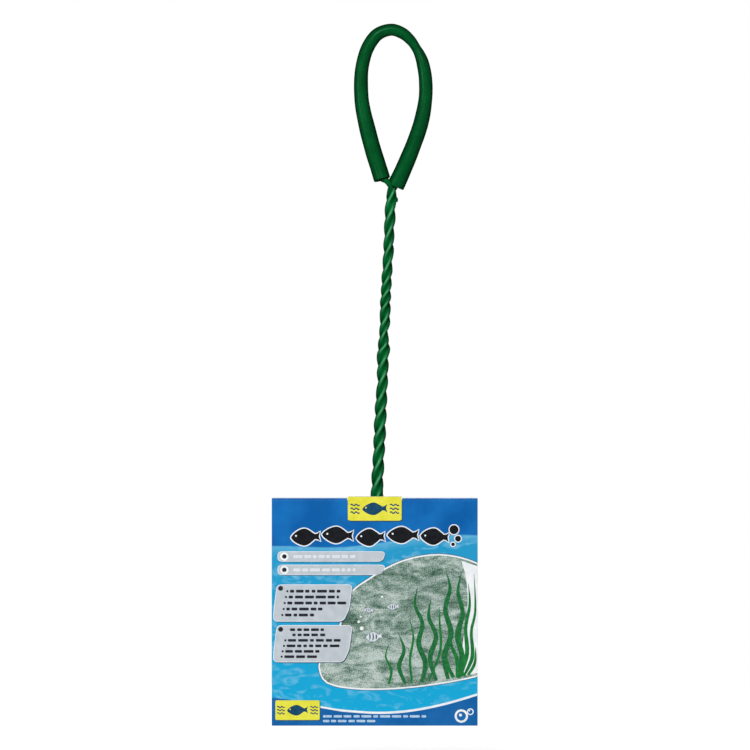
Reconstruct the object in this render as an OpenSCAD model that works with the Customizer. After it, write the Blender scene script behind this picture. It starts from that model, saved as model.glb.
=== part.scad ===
// Small aquarium net with its header card. One coated steel wire makes the hoop, the twisted
// stem and the grip loop. A mesh bag is sewn on the hoop under a folded tape, a soft sleeve
// covers the grip, and a printed card is folded over the top of the hoop.
// +X is to the right from the front, +Y to the back and +Z up. The origin is the inner top
// of the grip loop, where a hook carries the net.

/* [Wire] */
// Diameter of the steel wire
steel_d = 1.8; // [1.4:0.1:2.2]
// Thickness of the plastic coating on the wire
coating_t = 0.4; // [0.3:0.05:0.5]

/* [Hoop] */
// Width of the hoop between wire centres
hoop_w = 80; // [74:1:86]
// Height of the hoop between wire centres
hoop_h = 62; // [56:1:66]
// Corner radius of the hoop at the wire centre
hoop_corner_r = 9; // [7:0.5:12]
// Bend radius where the wire turns from the hoop into the stem
neck_bend_r = 4.5; // [4:0.5:6]

/* [Stem] */
// Length of one full turn of the twist
twist_pitch = 15; // [14:0.5:17]
// Half turns of the twist from the first full width to the neck, an odd count
half_turns = 17; // [15:2:19]
// Length of the straight neck between the twist and the hoop
neck_l = 4.5; // [3:0.5:6]
// Lean of the stem against the hoop, in degrees
stem_lean = 2.7; // [0:0.1:4]

/* [Grip] */
// Width of the grip loop between wire centres
grip_w = 29; // [26:1:34]
// Height of the grip loop from the crossing to the top wire centre
grip_h = 72.5; // [66:0.5:84]
// Usual outer diameter of the sleeve
sleeve_d = 6.1; // [5.6:0.1:6.6]
// Clearance between the wire and the bore of the sleeve
sleeve_clearance = 0.2; // [0.1:0.05:0.3]

/* [Hem] */
// Thickness of the folded tape that holds the bag on the hoop
tape_t = 0.5; // [0.4:0.05:0.6]
// Width of the sewn tail of the tape
tape_tail = 5; // [4:0.5:6]
// Length of one stitch
stitch_l = 2.2; // [1.6:0.1:2.6]
// Distance from one stitch to the next
stitch_pitch = 3.8; // [3.2:0.1:5]

/* [Bag] */
// Thickness of the mesh bag's wall
bag_t = 0.5; // [0.4:0.05:0.6]
// How far the belly of the bag stands behind the hoop
belly_depth = 24; // [20:1:28]
// How far the bag hangs below the bottom of the hoop
bag_drop = 31; // [27:0.5:33]
// Diameter of the bound seam round the bag
seam_d = 1; // [0.8:0.1:1.2]

/* [Card] */
// Width of the card
card_w = 92; // [90:1:100]
// Height of the card's front below the fold
card_h = 101.5; // [98:0.5:110]
// Thickness of the card
card_t = 0.5; // [0.4:0.05:0.6]
// Inside width of the fold, front to back
fold_gap = 6.2; // [6.1:0.1:7]
// Outer radius of the rounded front crease
crease_r = 1.1; // [0.9:0.1:1.4]
// Height of the ears folded down behind the hoop
ear_h = 20; // [14:1:22]
// Corner radius of the ears
ear_corner_r = 5; // [3:0.5:6]
// Width of the tab that stands up between the ears
tab_w = 24; // [20:1:28]
// How far the tab stands above the fold
tab_h = 0.9; // [0.5:0.1:2]
// How far the card sits to the left of the stem's root
card_shift = 1.1; // [0:0.1:1.4]

/* [Hidden] */
$fn = 48;

// Colours
steel_grey = [0.62, 0.63, 0.65];
coating_green = [0.03, 0.36, 0.16];
sleeve_green = [0.02, 0.33, 0.14];
hem_green = [0.03, 0.28, 0.12];
thread_green = [0.06, 0.42, 0.2];
mesh_green = [0.52, 0.68, 0.56];
card_blue = [0.03, 0.45, 0.8];

// Wire sizes
steel_r = steel_d / 2;
wire_r = steel_r + coating_t;
wire_sides = 8;
steel_sides = 6;
steel_slack = 0.02;
bore_r = steel_r / cos(180 / wire_sides) + steel_slack;
butt_gap = 1;

// Twist: the strands stay apart although each runs in short straight steps
steps_per_turn = 10;
strand_gap = 0.06;
strand_r = (wire_r + strand_gap / 2) / cos(180 / steps_per_turn);
lead_in_turn = 0.25;
twist_l = (lead_in_turn + half_turns / 2) * twist_pitch;

// Grip loop, left end of the sleeve to right end: place across the loop as a share of its
// width, drop from the top as a share of its height, and sleeve radius as a share of its usual
grip_shares = [
    [-0.152, 0.926, 1.20],
    [-0.205, 0.850, 1.22],
    [-0.290, 0.742, 1.22],
    [-0.384, 0.599, 1.18],
    [-0.460, 0.451, 1.08],
    [-0.474, 0.304, 1.02],
    [-0.443, 0.200, 0.98],
    [-0.365, 0.106, 0.97],
    [-0.220, 0.029, 0.95],
    [-0.012, 0.000, 0.89],
    [0.165, 0.022, 0.86],
    [0.292, 0.065, 0.76],
    [0.374, 0.112, 0.70],
    [0.436, 0.158, 0.82],
    [0.482, 0.212, 0.93],
    [0.521, 0.304, 0.99],
    [0.520, 0.427, 1.02],
    [0.452, 0.575, 1.12],
    [0.328, 0.723, 1.15],
    [0.178, 0.871, 1.15],
    [0.072, 0.967, 1.12],
];
grip_top_row = 9;
butt_row = 12;
grip_steps = 2;
legs_part_share = 0.8;
cross_share = -0.012;
sleeve_sides = 10;
sleeve_bore_r = wire_r + sleeve_clearance;
sleeve_inset = 4;

// Heights down the net
grip_top_z = grip_shares[grip_top_row][2] * sleeve_d / 2;
cross_point = [cross_share * grip_w, 0, grip_top_z - grip_h];
stem_down = [-sin(stem_lean), 0, -cos(stem_lean)];
stem_across = [cos(stem_lean), 0, -sin(stem_lean)];
neck_top = cross_point + twist_l * stem_down;
neck_x = neck_top[0];
neck_z = neck_top[2] - neck_l;
bar_z = neck_z - neck_bend_r;
hoop_mid_z = bar_z - hoop_h / 2;
hoop_low_z = bar_z - hoop_h;

// Hem: the tape wraps the wire and its two layers close on the bag's edge
tape_clearance = 0.1;
wrap_steps = 8;
tape_in_r = (wire_r + tape_clearance) / cos(180 / wrap_steps);
tape_out_r = tape_in_r + tape_t;
tape_slit = 0.2;
tail_end = tape_out_r + tape_tail;
hem_start = strand_r + neck_bend_r + wire_r;
corner_steps = 6;
bar_steps = 4;
side_steps = 10;
hem_top_angle = 12;
hem_mid_angle = 60;
hem_side_angle = 100;
hem_low_angle = 135;
stitch_d = 0.35;
stitch_off = 0.24;
stitch_sides = 6;

// Card: it rests on the hem of the top bar
seat_gap = 0.3;
fold_top_z = bar_z + tape_out_r + seat_gap + card_t;
card_x = neck_x - card_shift;
card_in_y = -fold_gap / 2;
card_out_y = card_in_y - card_t;
ear_w = (card_w - tab_w) / 2;
slit_w = 0.3;
ear_slack = 0.1;
hinge_y = fold_gap / 2 + card_t / 2;
hinge_z = fold_top_z - card_t / 2;
ear_low_z = hinge_z - ear_h;

// Bag: guide lines from the hem to the bottom seam, as shares of the belly depth to the back
// and of the hoop's height down from the top bar. The front's go down from the bottom bar as
// shares of the bag's drop. All three end at the seam.
bag_rows = 10;
bag_gap = 0.1;
rim_lead = 1;
back_shares = [[0.05, 0.12], [0.05, 0.27], [0.28, 0.50], [0.66, 0.80]];
front_shares = [[0.22, 0.16], [0.26, 0.66], [0.52, 1.00], [0.86, 0.80]];
side_shares = [[0.28, 0.50], [0.43, 0.59], [0.59, 0.69]];
seam_side_shares = [0.80, 0.75];
seam_low_shares = [0.94, 1.08];
width_shares = [0.86, 0.89, 0.92, 0.92, 0.86];
seam_sides = 8;
seam_gap = 0.6;
seam_apart = seam_d / 2 + bag_t / 2 + seam_gap;
press_gap = 0.45;
press_fade = 6;

// Plain vector helpers
function unit(v) = v / norm(v);
function mix(a, b, share) = a + (b - a) * share;
function smooth(t) = t * t * (3 - 2 * t);
function clamp(t) = max(0, min(1, t));

// Point on a curve through four places, between the second and the third
function between(a, b, c, d, t) =
    (2 * b + (c - a) * t + (2 * a - 5 * b + 4 * c - d) * t * t
        + (3 * b - a - 3 * c + d) * t * t * t) / 2;

// Smooth line through places, with steps points for each
function curve(places, steps) = let (last = len(places) - 1) [
    for (i = [0 : last - 1], k = [0 : steps - 1])
        between(places[max(i - 1, 0)], places[i], places[i + 1],
            places[min(i + 2, last)], k / steps),
    places[last]];

// Value of a table of guide shares at v from 0 to 1
function guide(shares, v) = let (
    last = len(shares) - 1,
    i = min(floor(v * last), last - 1))
    between(shares[max(i - 1, 0)], shares[i], shares[i + 1],
        shares[min(i + 2, last)], v * last - i);

// Arc in the XZ plane about a centre, from one angle to another
function arc(centre, radius, from, to, steps) = [
    for (k = [0 : steps]) let (a = mix(from, to, k / steps))
        centre + radius * [cos(a), 0, sin(a)]];

// Ring of points round a path's point, square to the path
function heading(path, i) = unit(path[min(i + 1, len(path) - 1)] - path[max(i - 1, 0)]);
function ring(path, i, radius, sides) = let (
    along = heading(path, i),
    side = unit(cross(along, [0, 1, 0])),
    up = cross(side, along)) [
    for (k = [0 : sides - 1]) let (a = 360 * k / sides)
        path[i] + radius * (cos(a) * side + sin(a) * up)];
function rings(path, radii, sides) = [
    for (i = [0 : len(path) - 1]) ring(path, i, radii[i], sides)];
function same(value, path) = [for (i = [0 : len(path) - 1]) value];

function joined(lists) = [for (list = lists, item = list) item];
function wall(rows, count, start, flip) = [
    for (i = [0 : rows - 2], k = [0 : count - 1]) let (
        a = start + i * count + k,
        b = start + i * count + (k + 1) % count,
        c = b + count,
        d = a + count)
        each flip ? [[a, c, b], [a, d, c]] : [[a, b, c], [a, c, d]]];

// Solid skinned over rings of points
module skin(loops) {
    count = len(loops[0]);
    rows = len(loops);
    first = [for (k = [count - 1 : -1 : 0]) k];
    last = [for (k = [0 : count - 1]) (rows - 1) * count + k];
    polyhedron(joined(loops), concat(wall(rows, count, 0, false), [first, last]));
}

// Tube skinned over outer and inner rings
module hollow_skin(outer, inner) {
    count = len(outer[0]);
    rows = len(outer);
    inside = rows * count;
    final = (rows - 1) * count;
    rims = [for (k = [0 : count - 1]) let (n = (k + 1) % count)
        each [[k, inside + k, inside + n], [k, inside + n, n],
            [final + k, final + n, inside + final + n],
            [final + k, inside + final + n, inside + final + k]]];
    polyhedron(joined(concat(outer, inner)),
        concat(wall(rows, count, 0, false), wall(rows, count, inside, true), rims));
}

// Thin sheet of even thickness over a grid of points
function grid_normal(grid, i, j) = let (
    rows = len(grid) - 1,
    columns = len(grid[0]) - 1)
    unit(cross(grid[min(i + 1, rows)][j] - grid[max(i - 1, 0)][j],
        grid[i][min(j + 1, columns)] - grid[i][max(j - 1, 0)]));
function grid_side(grid, offset) = [
    for (i = [0 : len(grid) - 1], j = [0 : len(grid[0]) - 1])
        grid[i][j] + offset * grid_normal(grid, i, j)];
module sheet(grid, thickness) {
    rows = len(grid);
    columns = len(grid[0]);
    far = rows * columns;
    cells = [for (i = [0 : rows - 2], j = [0 : columns - 2]) let (
        a = i * columns + j, b = a + 1, c = b + columns, d = a + columns)
        each [[a, c, d], [a, b, c], [far + a, far + d, far + c], [far + a, far + c, far + b]]];
    rim = concat(
        [for (j = [0 : columns - 1]) j],
        [for (i = [1 : rows - 1]) i * columns + columns - 1],
        [for (j = [columns - 2 : -1 : 0]) (rows - 1) * columns + j],
        [for (i = [rows - 2 : -1 : 1]) i * columns]);
    edge = [for (k = [0 : len(rim) - 1]) let (a = rim[k], b = rim[(k + 1) % len(rim)])
        each [[a, far + b, b], [a, far + a, far + b]]];
    polyhedron(concat(grid_side(grid, thickness / 2), grid_side(grid, -thickness / 2)),
        concat(cells, edge));
}

// Routes of the wire
function strand_point(down, start) = let (turn = start - 360 * down / twist_pitch)
    cross_point + down * stem_down
        + strand_r * (cos(turn) * stem_across + [0, sin(turn), 0]);
function strand_line(start, side) = let (steps = ceil(twist_l / twist_pitch * steps_per_turn))
    concat([for (k = [0 : steps]) strand_point(twist_l * k / steps, start)],
        [[neck_x + side * strand_r, 0, neck_z + neck_l / 2],
            [neck_x + side * strand_r, 0, neck_z]]);
left_strand = strand_line(-90, 1);
right_strand = strand_line(90, -1);

function grip_point(row, side) = [row[0] * grip_w,
    side * strand_r * pow(clamp((row[1] - legs_part_share) / (1 - legs_part_share)), 2),
    grip_top_z - row[1] * grip_h];
function grip_side(i) = i > grip_top_row ? 1 : -1;
grip_line = curve([for (i = [0 : len(grip_shares) - 1])
    grip_point(grip_shares[i], grip_side(i))], grip_steps);
grip_radii = curve([for (row = grip_shares) row[2] * sleeve_d / 2], grip_steps);
butt_i = butt_row * grip_steps;
left_grip = [for (i = [0 : butt_i]) grip_line[i]];
right_grip = [for (i = [len(grip_line) - 1 : -1 : butt_i]) grip_line[i]];
function shortened(path, by) = let (last = len(path) - 1)
    [for (i = [0 : last]) i < last ? path[i]
        : path[i] - by * unit(path[i] - path[i - 1])];
left_grip_wire = shortened(left_grip, butt_gap / 2);
right_grip_wire = shortened(right_grip, butt_gap / 2);

corner_x = hoop_w / 2 - hoop_corner_r;
corner_z = hoop_h / 2 - hoop_corner_r;
function corner(x_side, z_side, from, steps) = arc(
    [neck_x + x_side * corner_x, 0, hoop_mid_z + z_side * corner_z],
    hoop_corner_r, from, from - 90, steps);
function neck_bend(side, from, to) = arc(
    [neck_x + side * (strand_r + neck_bend_r), 0, neck_z], neck_bend_r, from, to,
    corner_steps);
hoop_corners = [corner(1, 1, 90, corner_steps), corner(1, -1, 0, corner_steps),
    corner(-1, -1, -90, corner_steps), corner(-1, 1, 180, corner_steps)];
hoop_line = concat(neck_bend(1, 180, 270), joined(hoop_corners), neck_bend(-1, 270, 360));

function backwards(path) = [for (i = [len(path) - 1 : -1 : 0]) path[i]];
function without_last(path) = [for (i = [0 : len(path) - 2]) path[i]];
steel_line = concat(backwards(left_grip_wire), without_last(left_strand),
    hoop_line, backwards(without_last(right_strand)), right_grip_wire);

module steel_core() {
    color(steel_grey) skin(rings(steel_line, same(steel_r, steel_line), steel_sides));
}

// Straight and bent runs of a round bar, for the hoop
module bar(from, to, diameter) {
    way = to - from;
    translate(from)
        rotate([0, atan2(way[0], way[2]), 0])
            cylinder(d = diameter, h = norm(way));
}
module bend(x, z, radius, start, diameter) {
    translate([x, 0, z])
        rotate([90, 0, 0])
            rotate_extrude(angle = 90, start = start)
                translate([radius, 0])
                    circle(d = diameter);
}
module hoop_run(diameter) {
    for (side = [-1, 1]) {
        bend_x = neck_x + side * (strand_r + neck_bend_r);
        bend(bend_x, neck_z, neck_bend_r, side > 0 ? 180 : 270, diameter);
        bar([bend_x, 0, bar_z], [neck_x + side * corner_x, 0, bar_z], diameter);
        bend(neck_x + side * corner_x, hoop_mid_z + corner_z, hoop_corner_r,
            side > 0 ? 0 : 90, diameter);
        bar([neck_x + side * hoop_w / 2, 0, hoop_mid_z + corner_z],
            [neck_x + side * hoop_w / 2, 0, hoop_mid_z - corner_z], diameter);
        bend(neck_x + side * corner_x, hoop_mid_z - corner_z, hoop_corner_r,
            side > 0 ? 270 : 180, diameter);
    }
    bar([neck_x - corner_x, 0, hoop_low_z], [neck_x + corner_x, 0, hoop_low_z], diameter);
}
module hoop_coating() {
    color(coating_green) difference() {
        hoop_run(2 * wire_r);
        hoop_run(2 * bore_r);
    }
}

// Each strand's coating runs up into the sleeve, where the grip's coating takes over
function first_points(path, reach, i = 1) =
    norm(path[i] - path[0]) >= reach ? i : first_points(path, reach, i + 1);
module coating_over(path, first, last) {
    outer = rings(path, same(wire_r, path), wire_sides);
    inner = rings(path, same(bore_r, path), wire_sides);
    color(coating_green) hollow_skin([for (i = [first : last]) outer[i]],
        [for (i = [first : last]) inner[i]]);
}
left_wire = concat(backwards(left_grip_wire), left_strand);
right_wire = concat(backwards(right_grip_wire), right_strand);
left_meet = len(left_grip_wire) - 1 - first_points(left_grip_wire, sleeve_inset);
right_meet = len(right_grip_wire) - 1 - first_points(right_grip_wire, sleeve_inset);
module left_strand_coating() coating_over(left_wire, left_meet, len(left_wire) - 1);
module right_strand_coating() coating_over(right_wire, right_meet, len(right_wire) - 1);
module left_grip_coating() coating_over(left_wire, 0, left_meet);
module right_grip_coating() coating_over(right_wire, 0, right_meet);

module grip_sleeve() {
    color(sleeve_green) hollow_skin(rings(grip_line, grip_radii, sleeve_sides),
        rings(grip_line, same(sleeve_bore_r, grip_line), sleeve_sides));
}

// Hem: the tail points down inside the hoop at the top, to the back at the sides and
// down outside the hoop at the bottom, as the hanging bag pulls it
function tail_angle(z) = lookup(z, [
    [hoop_low_z, hem_low_angle], [hoop_low_z + hoop_corner_r, hem_side_angle],
    [hoop_mid_z, hem_mid_angle], [ear_low_z, hem_top_angle]]);
function inward(along) = [along[2], 0, -along[0]];
function tail_way(along, z) = let (a = tail_angle(z))
    cos(a) * inward(along) + [0, sin(a), 0];
function between_points(a, b, steps) = [for (k = [1 : steps - 1]) mix(a, b, k / steps)];
hem_right = [neck_x + hem_start, 0, bar_z];
hem_left = [neck_x - hem_start, 0, bar_z];
function last_of(path) = path[len(path) - 1];
hem_line = concat([hem_right], between_points(hem_right, hoop_corners[0][0], bar_steps),
    joined([for (i = [0 : 3]) concat(hoop_corners[i],
        between_points(last_of(hoop_corners[i]), i < 3 ? hoop_corners[i + 1][0] : hem_left,
            i % 2 == 0 ? side_steps : bar_steps))]),
    [hem_left]);
// Outline of the folded tape: the outer face down one tail, round the wire and back up the
// other tail, then the inner face back again, as [along the tail, across it]
half_slit = tape_slit / 2;
tape_across = half_slit + tape_t;
out_open = asin(tape_across / tape_out_r);
in_open = asin(half_slit / tape_in_r);
tape_outline = concat([[tail_end, tape_across]],
    [for (k = [0 : wrap_steps]) let (a = mix(out_open, 360 - out_open, k / wrap_steps))
        tape_out_r * [cos(a), sin(a)]],
    [[tail_end, -tape_across], [tail_end, -half_slit]],
    [for (k = [0 : wrap_steps]) let (a = mix(360 - in_open, in_open, k / wrap_steps))
        tape_in_r * [cos(a), sin(a)]],
    [[tail_end, half_slit]]);
function tape_ring(i) = let (
    along = heading(hem_line, i),
    tail = tail_way(along, hem_line[i][2]),
    over = cross(along, tail)) [
    for (p = tape_outline) hem_line[i] + p[0] * tail - p[1] * over];
module hem_tape() {
    color(hem_green) skin([for (i = [0 : len(hem_line) - 1]) tape_ring(i)]);
}

// Length along a path up to each of its points
function lengths(path, i = 0, sum = 0) = i == len(path) ? []
    : let (here = sum + (i > 0 ? norm(path[i] - path[i - 1]) : 0))
    concat([here], lengths(path, i + 1, here));
hem_lengths = lengths(hem_line);
hem_l = last_of(hem_lengths);
// Place on one of the hem's lines that lies level with a length along the wire
function place_on(path, at, i = 1) = hem_lengths[i] >= at || i == len(path) - 1
    ? mix(path[i - 1], path[i],
        (at - hem_lengths[i - 1]) / (hem_lengths[i] - hem_lengths[i - 1]))
    : place_on(path, at, i + 1);
stitch_line = [for (i = [0 : len(hem_line) - 1]) hem_line[i]
    + (tail_end - tape_tail / 2) * tail_way(heading(hem_line, i), hem_line[i][2])];
module hem_stitches() {
    count = floor((hem_l - stitch_l) / stitch_pitch);
    start = (hem_l - (count - 1) * stitch_pitch) / 2;
    color(thread_green) for (k = [0 : count - 1], face = [-1, 1]) {
        at = start + k * stitch_pitch;
        from = place_on(stitch_line, at - stitch_l / 2);
        to = place_on(stitch_line, at + stitch_l / 2);
        along = unit(to - from);
        over = unit(cross(along, place_on(stitch_line, at) - place_on(hem_line, at)));
        tail = cross(over, along);
        middle = (from + to) / 2 + face * (tape_across + stitch_off + stitch_d / 2) * over;
        multmatrix([
            [tail[0], over[0], along[0], middle[0]],
            [tail[1], over[1], along[1], middle[1]],
            [tail[2], over[2], along[2], middle[2]],
            [0, 0, 0, 1]])
            cylinder(d = stitch_d, h = norm(to - from), center = true, $fn = stitch_sides);
    }
}

// Bag: columns run from one side of the hoop over the bar to the other, each with its share
// of the half width, of the half height, and of the way from the side to the bar's middle
corner_share_x = hoop_corner_r / (hoop_w / 2);
corner_share_z = hoop_corner_r / (hoop_h / 2);
half_side_steps = side_steps / 2;
half_bar_steps = bar_steps;
quarter_steps = half_side_steps + corner_steps + half_bar_steps;
function column_place(k) = k < half_side_steps
    ? [1, (1 - corner_share_z) * k / half_side_steps]
    : k < half_side_steps + corner_steps
        ? let (a = 90 * (k - half_side_steps) / corner_steps)
            [1 - corner_share_x * (1 - cos(a)), 1 - corner_share_z * (1 - sin(a))]
        : [(1 - corner_share_x) * (quarter_steps - k) / half_bar_steps, 1];
columns = [for (k = [0 : 2 * quarter_steps]) let (
    from_side = min(k, 2 * quarter_steps - k),
    place = column_place(from_side))
    [k > quarter_steps ? -place[0] : place[0], place[1], from_side / quarter_steps]];

// Where a column leaves the hoop, and which way its part of the hem's tail points; level is
// 1 for the back panel, on the top bar, and -1 for the front panel, on the bottom bar
function hoop_place(column, level) = [neck_x + column[0] * hoop_w / 2, 0,
    hoop_mid_z + level * column[1] * hoop_h / 2];
function past(share, corner_share) = max(0, (share - 1 + corner_share) / corner_share);
function column_tail(column, level) = let (
    a = tail_angle(hoop_place(column, level)[2]),
    outward = unit([sign(column[0]) * past(abs(column[0]), corner_share_x), 0,
        level * past(column[1], corner_share_z)]))
    [0, sin(a), 0] - cos(a) * outward;
function rim_place(column, level, lead) = hoop_place(column, level)
    + (tail_end + bag_gap + lead) * column_tail(column, level);

// Guide lines in the middle plane, and the seam's end on them
function from_top(shares) = [0, shares[0] * belly_depth, bar_z - shares[1] * hoop_h];
function from_low(shares) = [0, shares[0] * belly_depth, hoop_low_z - shares[1] * bag_drop];
back_line = concat([for (shares = back_shares) from_top(shares)], [from_top(seam_low_shares)]);
front_line = concat([for (shares = front_shares) from_low(shares)],
    [from_top(seam_low_shares)]);
side_line = concat([for (shares = side_shares) from_top(shares)], [from_top(seam_side_shares)]);

// The bag turns from the hoop's outline into a lens, pointed at the seam, on its way down
function free_place(column, level, v) = let (
    round_share = smooth(v),
    across = mix(column[0], sign(column[0]) * (1 - column[2]), round_share),
    lift = mix(column[1], sin(90 * column[2]), round_share),
    middle = guide(level > 0 ? back_line : front_line, v))
    mix(guide(side_line, v), middle, lift)
        + [neck_x + across * guide(width_shares, v) * hoop_w / 2, 0, 0];
function hung_place(column, level, v) = free_place(column, level, v)
    + pow(1 - v, 3) * (rim_place(column, level, rim_lead) - free_place(column, level, 0));

// The ears press the bag flat as far down as they reach
pressed_y = fold_gap / 2 - bag_t / 2 - press_gap;
function pressed(place) = let (
    free_share = smooth(clamp((ear_low_z - press_gap - place[2]) / press_fade)))
    [place[0], mix(min(place[1], pressed_y), place[1], free_share), place[2]];
function bag_place(column, level, v) = pressed(hung_place(column, level, v));
function bag_row(level, i) = [for (column = columns)
    i == 0 ? rim_place(column, level, 0) : bag_place(column, level, (i - 1) / bag_rows)];

// Seam: down one side of the bag, round its bottom and up the other side
seam_down = [for (i = [0 : bag_rows - 1]) bag_place(columns[0], 1, i / bag_rows)];
seam_round = [for (column = columns) bag_place(column, 1, 1)];
seam_up = [for (i = [bag_rows - 1 : -1 : 0])
    bag_place(columns[len(columns) - 1], 1, i / bag_rows)];
seam_line = concat(seam_down, seam_round, seam_up);
module bag_seam() {
    color(hem_green) skin(rings(seam_line, same(seam_d / 2, seam_line), seam_sides));
}

// Panels stop short of the seam, which binds their edges
function drawn_in(at, towards, along) = let (way = towards - at)
    at + seam_apart * unit(way - (way * along) * along);
function panel_place(whole, i, j) = let (
    rows = len(whole) - 1,
    side = len(columns) - 1,
    on_seam = i == rows || j == 0 || j == side,
    seam_i = i == rows ? bag_rows + j
        : j == 0 ? max(i - 1, 0) : len(seam_line) - 1 - max(i - 1, 0))
    on_seam ? drawn_in(whole[i][j],
            whole[min(i, rows - 1)][max(1, min(j, side - 1))],
            i == 0 ? [0, 0, 0] : heading(seam_line, seam_i))
        : whole[i][j];
module bag_panel(level) {
    whole = [for (i = [0 : bag_rows + 1]) bag_row(level, i)];
    grid = [for (i = [0 : len(whole) - 1]) [for (j = [0 : len(columns) - 1])
        panel_place(whole, i, j)]];
    color(mesh_green) sheet(grid, bag_t);
}
module bag_back_panel() bag_panel(1);
module bag_front_panel() bag_panel(-1);

// Card: front panel, the tab that stands up from it, and the two folded spines
module card_panel(x, width, low, high) {
    translate([x - width / 2, card_out_y, low])
        cube([width, card_t, high - low]);
}
module spine(side) {
    width = ear_w - slit_w;
    left = side > 0 ? card_x + card_w / 2 - width : card_x - card_w / 2;
    translate([left, card_out_y + crease_r, fold_top_z - crease_r])
        rotate([0, 90, 0])
            rotate([0, 0, 180])
                rotate_extrude(angle = 90)
                    translate([crease_r - card_t, 0])
                        square([card_t, width]);
    translate([left, card_out_y + crease_r, fold_top_z - card_t])
        cube([width, hinge_y - card_t / 2 - ear_slack - card_out_y - crease_r, card_t]);
}
module header_card() {
    color(card_blue) {
        card_panel(card_x, card_w, fold_top_z - card_h, fold_top_z - crease_r);
        card_panel(card_x, tab_w, fold_top_z - crease_r, fold_top_z + tab_h);
        spine(-1);
        spine(1);
    }
}

// Ear: hangs from the rear crease behind the hoop
module ear(side) {
    width = ear_w - slit_w;
    left = side > 0 ? card_x + card_w / 2 - width : card_x - card_w / 2;
    color(card_blue) translate([left, hinge_y, hinge_z]) {
        rotate([0, 90, 0])
            cylinder(d = card_t, h = width);
        rotate([90, 0, 0])
            linear_extrude(card_t, center = true) {
                translate([0, -(ear_h - ear_corner_r)])
                    square([width, ear_h - ear_corner_r]);
                translate([ear_corner_r, -ear_h])
                    square([width - 2 * ear_corner_r, ear_corner_r]);
                for (x = [ear_corner_r, width - ear_corner_r])
                    translate([x, ear_corner_r - ear_h])
                        circle(r = ear_corner_r);
            }
    }
}
module left_ear() ear(-1);
module right_ear() ear(1);

steel_core();
hoop_coating();
left_strand_coating();
right_strand_coating();
left_grip_coating();
right_grip_coating();
grip_sleeve();
hem_tape();
hem_stitches();
bag_back_panel();
bag_front_panel();
bag_seam();
header_card();
left_ear();
right_ear();
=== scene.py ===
import math

import bmesh
import bpy
import numpy as np
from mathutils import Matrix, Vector


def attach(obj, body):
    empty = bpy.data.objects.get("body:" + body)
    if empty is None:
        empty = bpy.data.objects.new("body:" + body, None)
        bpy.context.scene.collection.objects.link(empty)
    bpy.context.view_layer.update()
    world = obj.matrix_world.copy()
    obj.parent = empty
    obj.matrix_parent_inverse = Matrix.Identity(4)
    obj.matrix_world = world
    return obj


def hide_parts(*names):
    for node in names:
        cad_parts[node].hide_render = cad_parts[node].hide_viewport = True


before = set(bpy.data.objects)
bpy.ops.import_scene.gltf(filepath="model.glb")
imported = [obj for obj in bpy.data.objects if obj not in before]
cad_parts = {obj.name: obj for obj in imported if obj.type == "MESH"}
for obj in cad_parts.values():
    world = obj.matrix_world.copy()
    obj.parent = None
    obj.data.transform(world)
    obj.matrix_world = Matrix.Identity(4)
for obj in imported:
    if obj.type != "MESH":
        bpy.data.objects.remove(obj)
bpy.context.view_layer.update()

# All sizes below are in millimetres and repeat those of the CAD part.
MM = 0.001
UP_Y = np.array([0.0, 1.0, 0.0])
WIRE_R = 1.3
STRAND_R = 1.33
TWIST_L = 131.25
LEAN = math.radians(2.7)
STEM_DOWN = np.array([-math.sin(LEAN), 0, -math.cos(LEAN)])
STEM_ACROSS = np.array([math.cos(LEAN), 0, -math.sin(LEAN)])
GRIP_W, GRIP_H, SLEEVE_D = 29.0, 72.5, 6.1
GRIP_TOP = 0.89 * SLEEVE_D / 2
CROSS = np.array([-0.012 * GRIP_W, 0, GRIP_TOP - GRIP_H])
NECK = CROSS + TWIST_L * STEM_DOWN
NECK_X, NECK_Z = NECK[0], NECK[2] - 4.5
NECK_R = 4.5
BAR_Z = NECK_Z - NECK_R
HOOP_W, HOOP_H, CORNER_R = 80.0, 62.0, 9.0
MID_Z, LOW_Z = BAR_Z - HOOP_H / 2, BAR_Z - HOOP_H
TAPE_OUT, TAPE_TAIL = 2.015, 5.0
TAIL_END = TAPE_OUT + TAPE_TAIL
HEM_ROOT = TAPE_OUT + 0.3
FOLD_Z = BAR_Z + HEM_ROOT + 0.5
CARD_X = NECK_X - 1.1
CARD_W, CARD_H, CARD_T = 92.0, 101.5, 0.5
CARD_L, CARD_R = CARD_X - CARD_W / 2, CARD_X + CARD_W / 2
CARD_LOW = FOLD_Z - CARD_H
FRONT_Y = -3.6
HINGE_Y, HINGE_Z = 3.35, FOLD_Z - 0.25
TAB_HALF = 12.0
EAR_W, EAR_H = 33.7, 20.0
EAR_LOW = HINGE_Z - EAR_H
BOARD_HALF = 0.25
PRESSED_Y, PRESSED_Z = 2.4, EAR_LOW - 0.45  # the bag's wall in front of an ear, and its end

# Camera: the picture shows 335 mm at the card's front, seen square on. The CAD's origin is at
# ORIGIN_PX of its 750 pixels, and PX is the size of one of them.
PICTURE, PX, ORIGIN_PX = 750, 0.4466, (391.8, 34.8)
LENS, SENSOR = 135, 36
camera_data = bpy.data.cameras.new("camera")
camera_data.type = "PERSP"
camera_data.lens = LENS
camera_data.sensor_width = SENSOR
camera_data.clip_start = 0.05
camera = bpy.data.objects.new("camera", camera_data)
bpy.context.scene.collection.objects.link(camera)
camera.location = ((PICTURE / 2 - ORIGIN_PX[0]) * PX * MM,
    (FRONT_Y - PICTURE * PX * LENS / SENSOR) * MM, (ORIGIN_PX[1] - PICTURE / 2) * PX * MM)
camera.rotation_euler = (math.radians(90), 0, 0)
bpy.context.scene.camera = camera


# Plain helpers
def unit(v):
    v = np.asarray(v, float)
    return v / np.linalg.norm(v, axis=-1, keepdims=True)


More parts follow.
